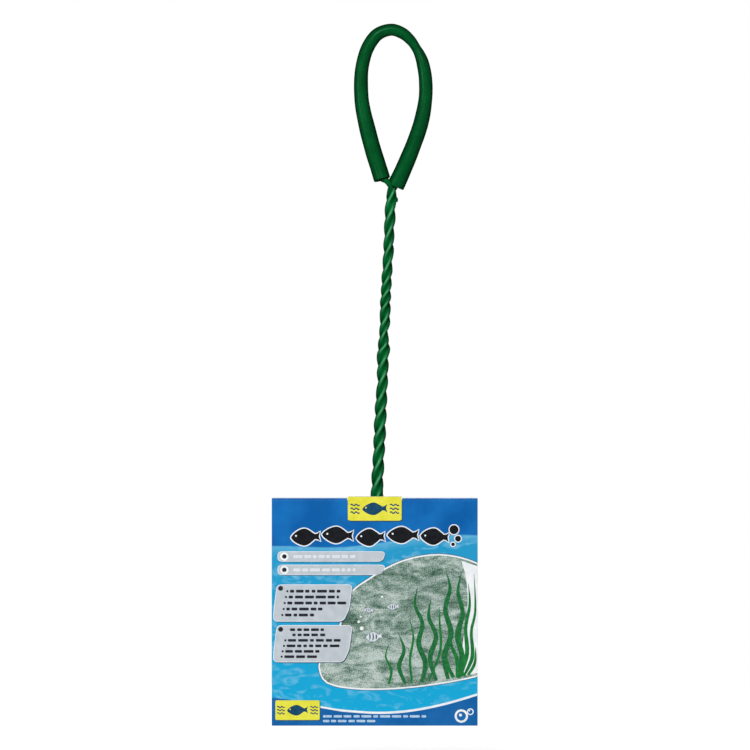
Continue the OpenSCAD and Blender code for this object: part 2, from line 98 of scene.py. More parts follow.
def smooth(t):
    t = np.clip(t, 0, 1)
    return t * t * (3 - 2 * t)


def between(a, b, c, d, t):
    return (2 * b + (c - a) * t + (2 * a - 5 * b + 4 * c - d) * t * t
        + (3 * b - a - 3 * c + d) * t ** 3) / 2


def curve(points, steps):
    points = np.asarray(points, float)
    last = len(points) - 1
    out = []
    for i in range(last):
        four = (points[max(i - 1, 0)], points[i], points[i + 1], points[min(i + 2, last)])
        out += [between(*four, k / steps) for k in range(steps)]
    return np.array(out + [points[last]])


def headings(path):
    ahead = np.vstack([path[1:], path[-1:]])
    behind = np.vstack([path[:1], path[:-1]])
    return unit(ahead - behind)


def lengths(path):
    return np.concatenate([[0], np.cumsum(np.linalg.norm(np.diff(path, axis=0), axis=1))])


def link(name, mesh):
    item = bpy.data.objects.new(name, mesh)
    bpy.context.scene.collection.objects.link(item)
    return item


def build(name, verts, faces, sharp=40):
    mesh = bpy.data.meshes.new(name)
    mesh.from_pydata((np.asarray(verts, float) * MM).tolist(), [], faces)
    bm = bmesh.new()
    bm.from_mesh(mesh)
    bmesh.ops.recalc_face_normals(bm, faces=bm.faces)
    bm.to_mesh(mesh)
    bm.free()
    mesh.polygons.foreach_set("use_smooth", [True] * len(mesh.polygons))
    mesh.set_sharp_from_angle(angle=math.radians(sharp))
    mesh.update()
    return link(name, mesh)


def ring_faces(rows, count, closed_rows, start=0):
    faces = []
    for i in range(rows if closed_rows else rows - 1):
        here, there = start + i * count, start + (i + 1) % rows * count
        faces += [(here + k, here + (k + 1) % count, there + (k + 1) % count, there + k)
            for k in range(count)]
    return faces


def tube_faces(rows, count, start=0):
    end = start + (rows - 1) * count
    return ring_faces(rows, count, False, start) + [tuple(range(start, start + count)),
        tuple(range(end, end + count))]


def swept(name, rings, closed_rows=False, sharp=40):
    rows, count = len(rings), len(rings[0])
    faces = ring_faces(rows, count, True) if closed_rows else tube_faces(rows, count)
    return build(name, np.reshape(rings, (-1, 3)), faces, sharp)


def around(count):
    return 2 * math.pi * np.arange(count) / count


def about(turn, side, up):
    """Directions at these angles, from side towards up."""
    return np.cos(turn)[..., None] * side + np.sin(turn)[..., None] * up


def round_rings(path, radii, sides, along=None, above=UP_Y):
    """Rings square to a path; radii is one number, one for each ring or one for each point."""
    along = headings(path) if along is None else along
    side = unit(np.cross(along, above))
    up = np.cross(side, along)
    radii = np.asarray(radii, float)
    radii = radii if radii.ndim == 2 else np.broadcast_to(radii, (len(path),))[:, None]
    return path[:, None] + radii[..., None] * about(around(sides), side[:, None], up[:, None])


def softened(item, width):
    bevel = item.modifiers.new("edges", "BEVEL")
    bevel.width = width * MM
    bevel.segments = 2
    bevel.limit_method = "ANGLE"
    bevel.angle_limit = math.radians(50)
    graph = bpy.context.evaluated_depsgraph_get()
    mesh = bpy.data.meshes.new_from_object(item.evaluated_get(graph))
    item.modifiers.clear()
    item.data = mesh
    return item


# Finishes: a colour of three parts is as on a screen, from 0 to 255; one of four is linear
def paint(colour):
    if len(colour) == 4:
        return colour
    return [c / 12.92 if c <= 0.04045 else ((c + 0.055) / 1.055) ** 2.4
        for c in (part / 255 for part in colour)] + [1]


class Nodes:
    """A node tree, and short ways to fill it."""

    def __init__(self, tree):
        self.tree = tree

    def node(self, kind, **settings):
        node = self.tree.nodes.new("ShaderNode" + kind)
        for key, value in settings.items():
            setattr(node, key, value)
        return node

    def feed(self, node, key, value):
        """Link or set an input; a tuple is a colour."""
        socket = node.inputs[key]
        if isinstance(value, bpy.types.NodeSocket):
            self.tree.links.new(value, socket)
        else:
            socket.default_value = paint(value) if isinstance(value, tuple) else value

    def made(self, kind, output, inputs, **settings):
        """An output of a new node with these inputs."""
        node = self.node(kind, **settings)
        for key, value in inputs.items():
            self.feed(node, key, value)
        return node.outputs[output]

    def math(self, operation, a, b=0.0):
        return self.made("Math", 0, {0: a, 1: b}, operation=operation)

    def times(self, a, b):
        return self.math("MULTIPLY", a, b)

    def total(self, *parts):
        """Sum of values, each times its share."""
        first = self.times(*parts[0])
        return self.math("ADD", first, self.total(*parts[1:])) if parts[1:] else first

    def seen_by(self, *rays):
        """1 for a ray of one of these kinds, otherwise 0."""
        paths = self.node("LightPath").outputs
        value = paths[f"Is {rays[0]} Ray"]
        for ray in rays[1:]:
            value = self.math("MAXIMUM", value, paths[f"Is {ray} Ray"])
        return value


class Finish(Nodes):
    """A procedural material on a Principled shader, with sizes in millimetres."""

    def __init__(self, name, rough, specular, **sockets):
        self.material = bpy.data.materials.new(name)
        self.material.use_nodes = True
        super().__init__(self.material.node_tree)
        self.shader = self.tree.nodes["Principled BSDF"]
        sockets.update(Roughness=rough, Specular_IOR_Level=specular)
        for key, value in sockets.items():
            self.shader.inputs[key.replace("_", " ")].default_value = value
        self.place = self.node("TexCoord").outputs["Object"]

    def stretched(self, scale, turn=0):
        """Places on the object, scaled and then turned about Y."""
        return self.made("Mapping", "Vector", {"Vector": self.place, "Scale": scale,
            "Rotation": [0, math.radians(turn), 0]})

    def noise(self, size, detail=3.0, place=None, distort=0.0):
        return self.made("TexNoise", "Fac", {"Vector": place or self.place,
            "Scale": 1 / (size * MM), "Detail": detail, "Distortion": distort})

    def waves(self, period, direction, distort=0.0, place=None):
        """At scale 1 the node's bands are a twentieth of a turn apart, in radians."""
        return self.made("TexWave", "Fac", {"Vector": place or self.place, "Distortion": distort,
            "Scale": 2 * math.pi / (20 * period * MM), "Detail": 1.0}, bands_direction=direction)

    def cells(self, size, feature):
        return self.made("TexVoronoi", "Distance", {"Vector": self.place,
            "Scale": 1 / (size * MM)}, feature=feature)

    def ranged(self, value, low, high, to_low=0.0, to_high=1.0):
        return self.made("MapRange", "Result", {"Value": value, "From Min": low,
            "From Max": high, "To Min": to_low, "To Max": to_high})

    def ramp(self, value, *stops):
        node = self.node("ValToRGB")
        self.feed(node, "Fac", value)
        ramp = node.color_ramp
        while len(ramp.elements) < len(stops):
            ramp.elements.new(0.5)
        for element, (at, colour) in zip(ramp.elements, stops):
            element.position = at
            element.color = paint(colour)
        return node.outputs["Color"]

    def mix(self, share, a, b):
        return self.made("Mix", 2, {0: share, 6: a, 7: b}, data_type="RGBA")

    def done(self, colour, height, depth, strength):
        """The material with its colour, and with a bump of this depth."""
        self.feed(self.shader, "Base Color", colour)
        self.feed(self.shader, "Normal", self.made("Bump", "Normal", {"Strength": strength,
            "Distance": depth * MM, "Height": height}))
        return self.material


def vinyl(name, dark, plain, light, rough, ior, specular, grain, crest=None, painted_groove_shade=None):
    """Soft green plastic under a thin tinted skin, which is deeper seen along it. With a crest
    colour, the stem's lays get a painted highlight, paler where they stand out, and are glossy
    there; the groove colour is painted shade, dark in their grooves."""
    f = Finish(name, rough, specular, IOR=ior, Specular_Tint=(0.28, 1.0, 0.54, 1),
        Coat_Weight=1.0, Coat_Roughness=0.5, Coat_IOR=1.0, Coat_Tint=(0.5, 0.56, 0.52, 1))
    tone = f.total((f.noise(9, 2), 0.6), (f.noise(1.6, 3), 0.4))
    skin = f.ramp(tone, (0.34, dark), (0.5, plain), (0.68, light))
    turned = f.node("LayerWeight").outputs["Facing"]
    gloss = f.times(specular, f.ranged(turned, 0.13, 0.45, 1.0, 0.0))
    # Painted highlight and painted shade on the stem: the crest colour is mixed in on the lays'
    # crests, the groove colour down the grooves between them.
    if crest:
        lay = f.node("Attribute", attribute_name="lay").outputs["Fac"]
        patchy = f.ranged(f.noise(2.2, 2), 0.3, 0.65, 0.6, 1.0)
        # Mask of the painted crest highlight; the same mask also raises the gloss there.
        high = f.times(f.ranged(lay, 0.0, 1.0), patchy)
        skin = f.mix(f.times(high, 0.1), skin, crest)
        # Painted shade: the groove colour darkens the grooves between the lays.
        skin = f.mix(f.ranged(lay, 0.0, -1.0, 0.0, 0.4), skin, painted_groove_shade)
        gloss = f.math("ADD", f.times(gloss, f.ranged(lay, -0.6, 0.5)),
            f.times(high, f.ranged(turned, 0.005, 0.14, 0.95, 0.0)))
    f.feed(f.shader, "Specular IOR Level", gloss)
    f.feed(f.shader, "Roughness", f.ranged(f.noise(2.5, 4), 0.3, 0.7, rough - 0.05, rough + 0.09))
    return f.done(skin, f.total((f.noise(1.3, 2), 1.0), (f.noise(0.25, 2), 0.3)), grain, 0.6)


def cloth(name, dark, light, weave, sheen=0.3):
    """Tape woven askew."""
    f = Finish(name, 0.82, 0.25, Sheen_Weight=sheen, Sheen_Roughness=0.4)
    slant = f.stretched([1, 1, 1], 45)
    woven = f.math("MAXIMUM", f.waves(weave, "X", 0.6, slant),
        f.waves(weave * 1.1, "Z", 0.6, slant))
    tone = f.total((woven, 0.55), (f.noise(2.2, 4), 0.45))
    return f.done(f.ramp(tone, (0.3, dark), (0.75, light)), woven, 0.12, 0.9)


def netting_finish():
    f = Finish("netting_nylon", 0.55, 0.4, Sheen_Weight=0.25, Sheen_Roughness=0.35)
    tone = f.total((f.noise(6, 3), 0.5), (f.noise(0.5, 2), 0.5))
    return f.done(f.ramp(tone, (0.32, (96, 148, 112)), (0.68, (158, 200, 168))),
        f.waves(0.16, "DIAGONAL"), 0.05, 0.8)


def steel_finish():
    f = Finish("drawn_steel", 0.28, 0.5, Metallic=1.0)
    drawn = f.noise(0.5, 4, f.stretched([1, 1, 0.05]))
    f.feed(f.shader, "Roughness", f.ranged(drawn, 0.3, 0.7, 0.2, 0.4))
    return f.done(f.ramp(drawn, (0.3, (0.5, 0.51, 0.53, 1)), (0.7, (0.72, 0.73, 0.75, 1))),
        drawn, 0.01, 0.5)


def board_finish():
    f = Finish("board_back", 0.78, 0.2)
    fibre = f.noise(0.35, 5, f.stretched([1, 1, 0.45]))
    tone = f.total((fibre, 0.6), (f.noise(7, 3), 0.4))
    return f.done(f.ramp(tone, (0.3, (196, 194, 186)), (0.5, (218, 216, 208)),
        (0.7, (229, 228, 222))), fibre, 0.03, 0.5)


def cut_finish():
    f = Finish("board_cut", 0.85, 0.15)
    layers = f.noise(0.18, 3, f.stretched([0.3, 2.5, 0.3]))
    return f.done(f.ramp(layers, (0.35, (188, 190, 188)), (0.65, (232, 233, 232))),
        layers, 0.03, 0.7)


def varnished(f, colour):
    return f.done(colour, f.noise(0.5, 2), 0.01, 0.4)


def printed(name, dark, light, size):
    f = Finish(name, 0.4, 0.08)
    tone = f.total((f.noise(size, 4), 0.7), (f.noise(0.35, 2), 0.3))
    return varnished(f, f.ramp(tone, (0.35, dark), (0.65, light)))


def water_finish():
    """The card's ground: deep blue over an uneven line, rippled aqua under it, in metres."""
    f = Finish("printed_water", 0.4, 0.08)
    split = f.node("SeparateXYZ")
    f.feed(split, 0, f.place)
    x, z = split.outputs["X"], split.outputs["Z"]
    rise = f.total((x, 0.062), (f.math("SINE", f.times(x, 78.0)), 0.0013))
    above = f.math("SUBTRACT", z, f.math("ADD", rise, -0.2262))
    streaks = f.noise(11, 3, f.stretched([1, 1, 2.2], 38), 1.6)
    veil = f.noise(2.6, 3, f.stretched([1, 1, 3.0], 30), 2.0)
    light = f.times(f.ranged(streaks, 0.5, 0.74), f.ranged(veil, 0.3, 0.75, 0.45, 1.0))
    aqua = f.mix(f.ranged(z, -0.300, -0.232), (18, 166, 214), (38, 152, 200))
    aqua = f.mix(f.times(light, 0.62), aqua, (158, 214, 236))
    aqua = f.mix(f.ranged(above, -0.0042, 0.0, 0.0, 0.4), aqua, (132, 200, 230))
    deep = f.ramp(f.noise(14, 3), (0.35, (6, 92, 164)), (0.65, (20, 110, 184)))
    return varnished(f, f.mix(f.ranged(above, -0.0003, 0.0004), aqua, deep))


def mesh_print_finish():
    """Print of crumpled netting."""
    f = Finish("printed_mesh", 0.4, 0.08)
    knots = f.ranged(f.cells(0.8, "DISTANCE_TO_EDGE"), 0.02, 0.3, 1.0, 0.0)
    folds = f.noise(13, 3, f.stretched([1, 1, 2.4], 14), 1.2)
    small = f.noise(3.2, 3, f.stretched([1, 1, 2.0], -20), 0.8)
    tone = f.total((knots, 0.14), (folds, 0.62), (small, 0.24), (f.noise(0.6, 2), 0.14))
    return varnished(f, f.ramp(tone, (0.37, (34, 68, 48)), (0.48, (82, 112, 96)),
        (0.58, (132, 155, 144)), (0.7, (190, 203, 198))))


sleeve_vinyl = vinyl("sleeve_vinyl", (1, 85, 40), (3, 98, 47), (6, 111, 55), 0.28, 1.5, 0.17, 0.03)
# The wire's crest colour is a painted highlight on the stem's lays, and its groove colour is
# painted shade in their grooves.
wire_vinyl = vinyl("wire_vinyl", (2, 97, 44), (6, 116, 56), (14, 137, 69), 0.5, 2.5, 0.035, 0.04,
    crest=(140, 226, 176), painted_groove_shade=(1, 36, 16))
hem_cloth = cloth("hem_cloth", (10, 66, 32), (28, 110, 58), 0.5)
bound_cloth = cloth("bound_cloth", (12, 70, 34), (34, 118, 64), 0.4)
thread_gloss = cloth("thread_gloss", (24, 104, 54), (70, 158, 98), 0.18, 0.5)
netting_nylon, drawn_steel = netting_finish(), steel_finish()
board_back, board_cut = board_finish(), cut_finish()
INKS = {"water": water_finish(), "mesh": mesh_print_finish()}
INKS.update({name: printed("ink_" + name, *row) for name, row in {
    "yellow": ((222, 216, 52), (236, 232, 84), 5),
    "black": ((8, 9, 12), (26, 28, 34), 2),
    "text": ((18, 20, 26), (48, 52, 60), 0.8),
    "white": ((226, 232, 236), (246, 248, 249), 4),
    "panel": ((182, 190, 198), (198, 205, 211), 4),
    "mist": ((212, 219, 225), (226, 231, 235), 1),
    "shade": ((30, 62, 92), (50, 84, 112), 2),
    "mark": ((14, 60, 92), (30, 78, 108), 2),
    "deep": ((14, 92, 158), (28, 104, 172), 9),
    "pale": ((150, 184, 216), (196, 216, 234), 1),
    "frame": ((18, 84, 44), (46, 124, 70), 1.2),
    "leaf": ((16, 96, 44), (40, 134, 66), 2),
    "silver": ((196, 206, 214), (232, 238, 241), 0.9),
    "stripe": ((36, 48, 66), (70, 88, 112), 0.7)}.items()})


def dress(item, body, slot, *materials, instead=()):
    for material in materials:
        item.data.materials.append(material)
    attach(item, body)
    if instead:
        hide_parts(*instead)


# Grip: the sleeve's line from its left end to its right end, as shares of the grip's size, and
# its thickness as a share of SLEEVE_D. At the neck its ends lie one behind the other.
GRIP = np.array([
    [-0.148, 0.926, 1.23], [-0.205, 0.850, 1.22], [-0.290, 0.742, 1.22],
    [-0.384, 0.599, 1.18], [-0.460, 0.451, 1.08], [-0.474, 0.304, 1.02],
    [-0.443, 0.200, 0.98], [-0.365, 0.106, 0.97], [-0.220, 0.029, 0.95],
    [-0.012, 0.000, 0.89], [0.165, 0.022, 0.86], [0.292, 0.065, 0.76],
    [0.374, 0.112, 0.70], [0.436, 0.158, 0.82], [0.482, 0.212, 0.93],
    [0.521, 0.304, 0.99], [0.520, 0.427, 1.02], [0.452, 0.575, 1.12],
    [0.325, 0.723, 1.16], [0.170, 0.871, 1.23], [0.056, 0.967, 1.31]])
TOP_POINT, GRIP_STEPS, END_Y = 9, 8, 1.398
BORE_R, SLEEVE_WALL = 1.58, 0.95
grip_y = np.where(np.arange(len(GRIP)) > TOP_POINT, END_Y, -END_Y) * np.clip(
    (GRIP[:, 1] - 0.8) / 0.2, 0, 1) ** 2
grip_line = curve(np.stack([GRIP[:, 0] * GRIP_W, grip_y, GRIP_TOP - GRIP[:, 1] * GRIP_H],
    axis=1), GRIP_STEPS)
grip_r = curve(GRIP[:, 2:] * SLEEVE_D / 2, GRIP_STEPS)[:, 0]


def grip_sleeve():
    """Tube that fits the wire inside and is wider at its ends, down its outside and back."""
    at, along = lengths(grip_line), headings(grip_line)
    outer_r = grip_r * (1 + 0.006 * np.sin(at / 3.1) + 0.004 * np.sin(at / 1.7 + 1))
    from_end = np.minimum(at, at[-1] - at)
    inner_r = BORE_R + (grip_r - SLEEVE_WALL - BORE_R) * (1 - smooth(from_end / 6.5))

    def lip(i, way):
        """Places, headings and radii over the rim at one end, from the outside in."""
        back = np.array([0.34, 0.12, 0.03, 0, 0, 0.05, 0.22])
        radii = np.append(outer_r[i] - [0, 0.05, 0.16, 0.32], inner_r[i] + [0.22, 0.08, 0])
        return grip_line[i] - way * back[:, None] * along[i], [along[i]] * len(back), radii

    def run(radii):
        return grip_line[1:-1], along[1:-1], radii[1:-1]

    def turned(parts):
        return [part[::-1] for part in parts]
    places, ways, radii = (np.concatenate(parts) for parts in zip(
        run(outer_r), lip(-1, 1), turned(run(inner_r)), turned(lip(0, -1))))
    rings = round_rings(places, radii, 40, ways)
    item = swept("grip_sleeve_tube", rings, closed_rows=True, sharp=60)
    dress(item, "net", "sleeve", sleeve_vinyl, instead=["grip_sleeve"])


grip_sleeve()


# One coated wire: grip, twisted strands, hoop
def arc(x, z, radius, start, end, steps):
    turn = np.radians(np.linspace(start, end, steps + 1))
    return np.stack([x + radius * np.cos(turn), 0 * turn, z + radius * np.sin(turn)], axis=1)


# Stem: heights where a lay of the rope stands at its right edge, then the rope's thickness
# and its drift to the side, all down the stem
EDGE_Z = [-65.0, -73.8, -81.8, -89.9, -97.0, -105.0, -111.3, -116.7, -122.0, -129.2, -135.0,
    -140.8, -147.9, -155.1, -163.1, -170.2, -178.3, -185.4, -193.5, -201.5, -209.1]
THICK = [(-66.5, 0.6), (-68.5, 0.8), (-72, 0.92), (-77, 0.94), (-82.7, 0.97), (-88, 0.9),
    (-96, 0.93), (-101.5, 0.87), (-107, 0.91), (-115, 0.89), (-123, 0.95), (-128.3, 0.93),
    (-131, 0.82), (-133.8, 0.77), (-136.3, 0.93), (-139, 1.07), (-141.7, 1.12), (-145, 1.03),
    (-150, 1.0), (-157, 0.92), (-163, 1.03), (-179, 1.06), (-188, 1.0), (-195, 1.05),
    (-208, 1.04)]
DRIFT = [(-66.5, 0.5), (-70, 0.5), (-73, 0.15), (-77, 0.1), (-90, 0.05), (-95, 0.2),
    (-100, 0.05), (-112, -0.1), (-123, -0.15), (-126, 0.12), (-130, -0.1), (-133.6, -0.3),
    (-136.5, -0.1), (-139, 0.22), (-142, -0.15), (-148, 0.0), (-155, 0.24), (-163, 0.0),
    (-182, 0.1), (-208, 0.0)]
LAY, LAY_R, LAYS = 1.39, 1.30, 3
LAY_TURN = 2 * math.pi / LAYS
FILL_R, NUB = 1.88, 0.72  # rope round that fills the grooves, and rise of the cut end
STEM_TOP, STEM_LOW, LAY_LOW = -67.3, -207.3, -204.8
STEEL_R = 0.72


def down_stem(table, z):
    heights, values = np.array(table).T
    return np.interp(-z, -heights, values)


def stem_turn(z):
    """Angle of the first lay round the stem, in radians; the front is at minus a quarter turn."""
    passed = np.interp(-z, -np.array(EDGE_Z), np.arange(len(EDGE_Z)))
    return -LAY_TURN * passed


def stem_centre(z):
    down = (CROSS[2] - z) / math.cos(LEAN)
    x = CROSS[0] + down * STEM_DOWN[0] + down_stem(DRIFT, z)
    return np.stack([x, 0 * z, z], axis=-1)


def twisted_stem():
    """The stem's coating: a rope whose grooves are partly filled, with a cut end at its top."""
    z = np.arange(STEM_TOP, STEM_LOW, -0.3)
    ends = smooth((-z - 66.6) / 1.9) * smooth((z + 208.4) / 1.6)
    kernel = np.ones(7) / 7
    centre, thick = stem_centre(z), down_stem(THICK, z)
    centre[3:-3, 0] = np.convolve(centre[:, 0], kernel, "valid")
    thick[3:-3] = np.convolve(thick, kernel, "valid")
    thick = thick * (0.3 + 0.7 * ends)
    turn = around(60)
    near = (turn - stem_turn(z)[:, None] + LAY_TURN / 2) % LAY_TURN - LAY_TURN / 2
    r = LAY * np.cos(near) + np.sqrt(LAY_R ** 2 - (LAY * np.sin(near)) ** 2)
    r = (r ** 10 + FILL_R ** 10) ** 0.1 * thick[:, None]
    r = r + 0.025 * (np.sin(z / 0.9)[:, None] * np.cos(2 * turn)
        + np.sin(z / 2.1)[:, None] * np.cos(3 * turn + 1))
    cut = smooth((-z - 71.6) / 1.6) * (1 - smooth((-z - 74.1) / 0.4))
    beside = np.exp(-((((turn + math.pi) % (2 * math.pi)) - math.pi - 0.05) / 0.5) ** 2)
    r = r + NUB * cut[:, None] * beside
    item = swept("twisted_stem", centre[:, None] + r[..., None] * about(turn, STEM_ACROSS, UP_Y),
        sharp=80)
    # Near 1 on a lay's crest and below 0 in its grooves; by it the wire's finish paints a
    # highlight on the crests and shade in the grooves.
    lay = np.exp(-(near / 0.34) ** 2) - smooth((np.abs(near) - 0.75) / 0.3)
    item.data.attributes.new("lay", "FLOAT", "POINT").data.foreach_set("value", lay.ravel())
    dress(item, "net", "coating", wire_vinyl,
        instead=["left_strand_coating", "right_strand_coating"])


def lay_line(n, top):
    """Middle line of one lay down the stem."""
    z = np.arange(top, LAY_LOW, -0.35)
    reach = (LAY * 0.95 * down_stem(THICK, z))[:, None]
    return stem_centre(z) + reach * about(stem_turn(z) + n * LAY_TURN, STEM_ACROSS, UP_Y)


def hoop_corners(steps):
    """The hoop's corners, from the upper right round by the bottom to the upper left."""
    x, z = HOOP_W / 2 - CORNER_R, HOOP_H / 2 - CORNER_R
    return [arc(NECK_X + a * x, MID_Z + b * z, CORNER_R, start, start - 90, steps)
        for a, b, start in ((1, 1, 90), (1, -1, 0), (-1, -1, -90), (-1, 1, 180))]


hoop_route = np.vstack([
    [[NECK_X + STRAND_R, 0, NECK_Z + 2.2]],
    arc(NECK_X + STRAND_R + NECK_R, NECK_Z, NECK_R, 180, 270, 8),
    *hoop_corners(10),
    arc(NECK_X - STRAND_R - NECK_R, NECK_Z, NECK_R, 270, 360, 8),
    [[NECK_X - STRAND_R, 0, NECK_Z + 2.2]]])
BUTT = 12 * GRIP_STEPS  # point of the grip's line where the wire's two ends meet
left_route = np.vstack([grip_line[:BUTT - 1:4][::-1], [[-3.3, -1.5, -64.5],
    [-2.0, -1.7, -65.3], [-0.95, -1.5, -66.5], [-0.2, -0.7, -68.2], [0.45, 0.4, -70.2],
    [0.95, 0.85, -71.6]]])
right_route = np.vstack([grip_line[BUTT + 2::4], [[1.3, 0.5, -67.9], [0.75, -0.4, -68.7],
    [0.4, -0.95, -70.0], [0.1, -1.0, -71.2]]])


def evened(route, step, rounds, more=1):
    """The route in even steps, smoothed some rounds, and the way along it."""
    at = lengths(route)
    even = np.linspace(0, at[-1], int(at[-1] / step) + more)
    path = np.stack([np.interp(even, at, route[:, k]) for k in range(3)], axis=1)
    for _ in range(rounds):
        path[1:-1] = (path[:-2] + 2 * path[1:-1] + path[2:]) / 4
    return path, even


def tubes(name, routes, sides):
    """Wires in one mesh, from rows of a route, its step, radius and unevenness."""
    verts, faces = [], []
    for route, step, radius, swell in routes:
        path, at = evened(route, step, 4)
        radii = radius + swell * (0.02 * np.sin(at / 2.3) + 0.015 * np.sin(at / 0.9 + 2))
        faces += tube_faces(len(path), sides, len(verts))
        verts += list(round_rings(path, radii, sides).reshape(-1, 3))
    return build(name, verts, faces)


def coated_wire():
    """The coated wire where it is seen apart: both grip ends and the hoop."""
    item = tubes("coated_wire", [(left_route, 0.4, WIRE_R, 1), (right_route, 0.4, WIRE_R, 1),
        (hoop_route, 0.7, WIRE_R, 1)], 18)
    dress(item, "net", "coating", wire_vinyl,
        instead=["hoop_coating", "left_grip_coating", "right_grip_coating"])


def steel_wire():
    """The steel inside the coating."""
    main = np.vstack([left_route, lay_line(1, -73.4), hoop_route, lay_line(0, -72.4)[::-1],
        right_route[::-1]])
    item = tubes("steel_wire", [(main, 0.5, STEEL_R, 0),
        (lay_line(2, -76), 0.7, STEEL_R, 0)], 10)
    dress(item, "net", "steel", drawn_steel, instead=["steel_core"])


twisted_stem()
coated_wire()
steel_wire()


# Hem: a tape folded over the hoop's wire. Across it, one way runs along its tail and the other
# over its faces.
def tail_angle(z):
    return np.radians(np.interp(z, [LOW_Z, LOW_Z + CORNER_R, MID_Z, EAR_LOW],
        [135, 100, 60, 12]))


def hem_path():
    """Line round the hoop, from one side of the neck to the other."""
    def run(a, b):
        steps = max(2, int(np.linalg.norm(b - a) / 0.9))
        return [a + (b - a) * k / steps for k in range(1, steps)]
    beside = STRAND_R + NECK_R + WIRE_R + 0.1
    first, last = (np.array([NECK_X + side * beside, 0, BAR_Z]) for side in (1, -1))
    line = [first]
    for corner in hoop_corners(16):
        line += run(line[-1], corner[0]) + list(corner)
    return np.array(line + run(line[-1], last) + [last])


hem_line = hem_path()
hem_at = lengths(hem_line)
hem_along = headings(hem_line)
hem_inward = np.stack([hem_along[:, 2], 0 * hem_at, -hem_along[:, 0]], axis=1)
hem_tail = about(tail_angle(hem_line[:, 2]), hem_inward, UP_Y)
hem_over = np.cross(hem_along, hem_tail)
STITCH_PITCH, STITCH_L, STITCH_R = 3.8, 2.2, 0.17
stitch_count = int((hem_at[-1] - STITCH_L) // STITCH_PITCH)
stitch_start = (hem_at[-1] - (stitch_count - 1) * STITCH_PITCH) / 2


def slack(at):
    """How far the tape's tail waves at a place along the hem."""
    return 0.05 * math.sin(at / 1.3) + 0.04 * math.sin(at / 2.9 + 2)


def hem_tape():
    rings = []
    opening = math.asin(0.6 / TAPE_OUT) + 0.12
    for i, at in enumerate(hem_at):
        beat = math.cos(2 * math.pi * (at - stitch_start) / STITCH_PITCH)
        edge = TAIL_END + 0.16 * math.sin(at / 1.9) + 0.1 * math.sin(at / 0.83 + 1)
        loose = slack(at)
        side = [(edge, 0.42)]
        for share in (0.985, 0.88, 0.7, 0.5, 0.34, 0.18):
            puff = 0.1 * (1 - beat) * math.exp(-((share - 0.78) / 0.16) ** 2)
            sewn = 0.09 * (1 + beat) / 2 * math.exp(-((share - 0.5) / 0.13) ** 2)
            side.append((HEM_ROOT + (edge - HEM_ROOT) * share, 0.6 + puff - sewn))
        wrap = [(r * math.cos(a), r * math.sin(a)) for a in
            np.linspace(opening, 2 * math.pi - opening, 17)
            for r in [TAPE_OUT + 0.05 + 0.05 * math.sin(at * 1.65 + 3 * math.sin(a))]]
        inner = [(1.5 * math.cos(a), 1.5 * math.sin(a)) for a in
            np.linspace(2 * math.pi - 0.08, 0.08, 13)]
        outline = ([(a, b + loose) for a, b in side] + wrap
            + [(a, -b + loose) for a, b in side[::-1]]
            + [(edge - 0.02, -0.1 + loose)] + inner + [(edge - 0.02, 0.1 + loose)])
        rings.append([hem_line[i] + a * hem_tail[i] - b * hem_over[i] for a, b in outline])
    item = swept("hem_tape_cloth", np.array(rings), sharp=55)
    dress(item, "net", "tape", hem_cloth, instead=["hem_tape"])


def on_hem(values, at):
    return np.array([np.interp(at, hem_at, values[:, k]) for k in range(3)])


def hem_stitches():
    verts, faces = [], []
    line = hem_line + (TAIL_END - TAPE_TAIL / 2) * hem_tail
    shares = np.linspace(-1, 1, 9)
    radii = STITCH_R * (1 - 0.35 * np.abs(shares) ** 4)
    for n in range(stitch_count):
        for face in (-1, 1):
            path = []
            for share in shares:
                at = stitch_start + n * STITCH_PITCH + share * STITCH_L / 2
                rise = slack(at) + face * (0.64 - 0.24 * abs(share) ** 3)
                path.append(on_hem(line, at) - rise * unit(on_hem(hem_over, at)))
            faces += tube_faces(len(path), 8, len(verts))
            verts += list(round_rings(np.array(path), radii, 8).reshape(-1, 3))
    item = build("hem_stitch_thread", verts, faces, 60)
    dress(item, "net", "thread", thread_gloss, instead=["hem_stitches"])


hem_tape()
hem_stitches()


# Bag: columns go round from one side of the hoop over the bar to the other
SIDE, CORNER, BAR = 5, 6, 4
QUARTER = SIDE + CORNER + BAR
SHARE_X, SHARE_Z = CORNER_R / (HOOP_W / 2), CORNER_R / (HOOP_H / 2)
BELLY, DROP = 24.0, 31.0


def from_top(rows):
    return [[0, y * BELLY, BAR_Z - z * HOOP_H] for y, z in rows]


def from_low(rows):
    return [[0, y * BELLY, LOW_Z - z * DROP] for y, z in rows]


back_line = np.array(from_top([[.05, .12], [.05, .27], [.28, .50], [.66, .80], [.94, 1.08]]))
front_line = np.array(from_low([[.22, .16], [.26, .66], [.52, 1.00], [.86, .80]])
    + from_top([[.94, 1.08]]))
side_line = np.array(from_top([[.28, .50], [.43, .59], [.59, .69], [.80, .75]]))
width_line = np.array([[.86], [.89], [.92], [.92], [.86]])


def guide(rows, v):
    last = len(rows) - 1
    i = np.minimum(np.floor(v * last), last - 1).astype(int)
    t = (v * last - i)[..., None]
    return between(rows[np.maximum(i - 1, 0)], rows[i], rows[i + 1],
        rows[np.minimum(i + 2, last)], t)


def column(k):
    """Share across and up the hoop of column k, and its way from a side to the middle."""
    near = np.minimum(k, 2 * QUARTER - k)
    turn = np.radians(90 * (near - SIDE) / CORNER)
    across = np.where(near < SIDE, 1, np.where(near < SIDE + CORNER,
        1 - SHARE_X * (1 - np.cos(turn)), (1 - SHARE_X) * (QUARTER - near) / BAR))
    lift = np.where(near < SIDE, (1 - SHARE_Z) * near / SIDE,
        np.where(near < SIDE + CORNER, 1 - SHARE_Z * (1 - np.sin(turn)), 1))
    return np.where(k > QUARTER, -across, across), lift, near / QUARTER


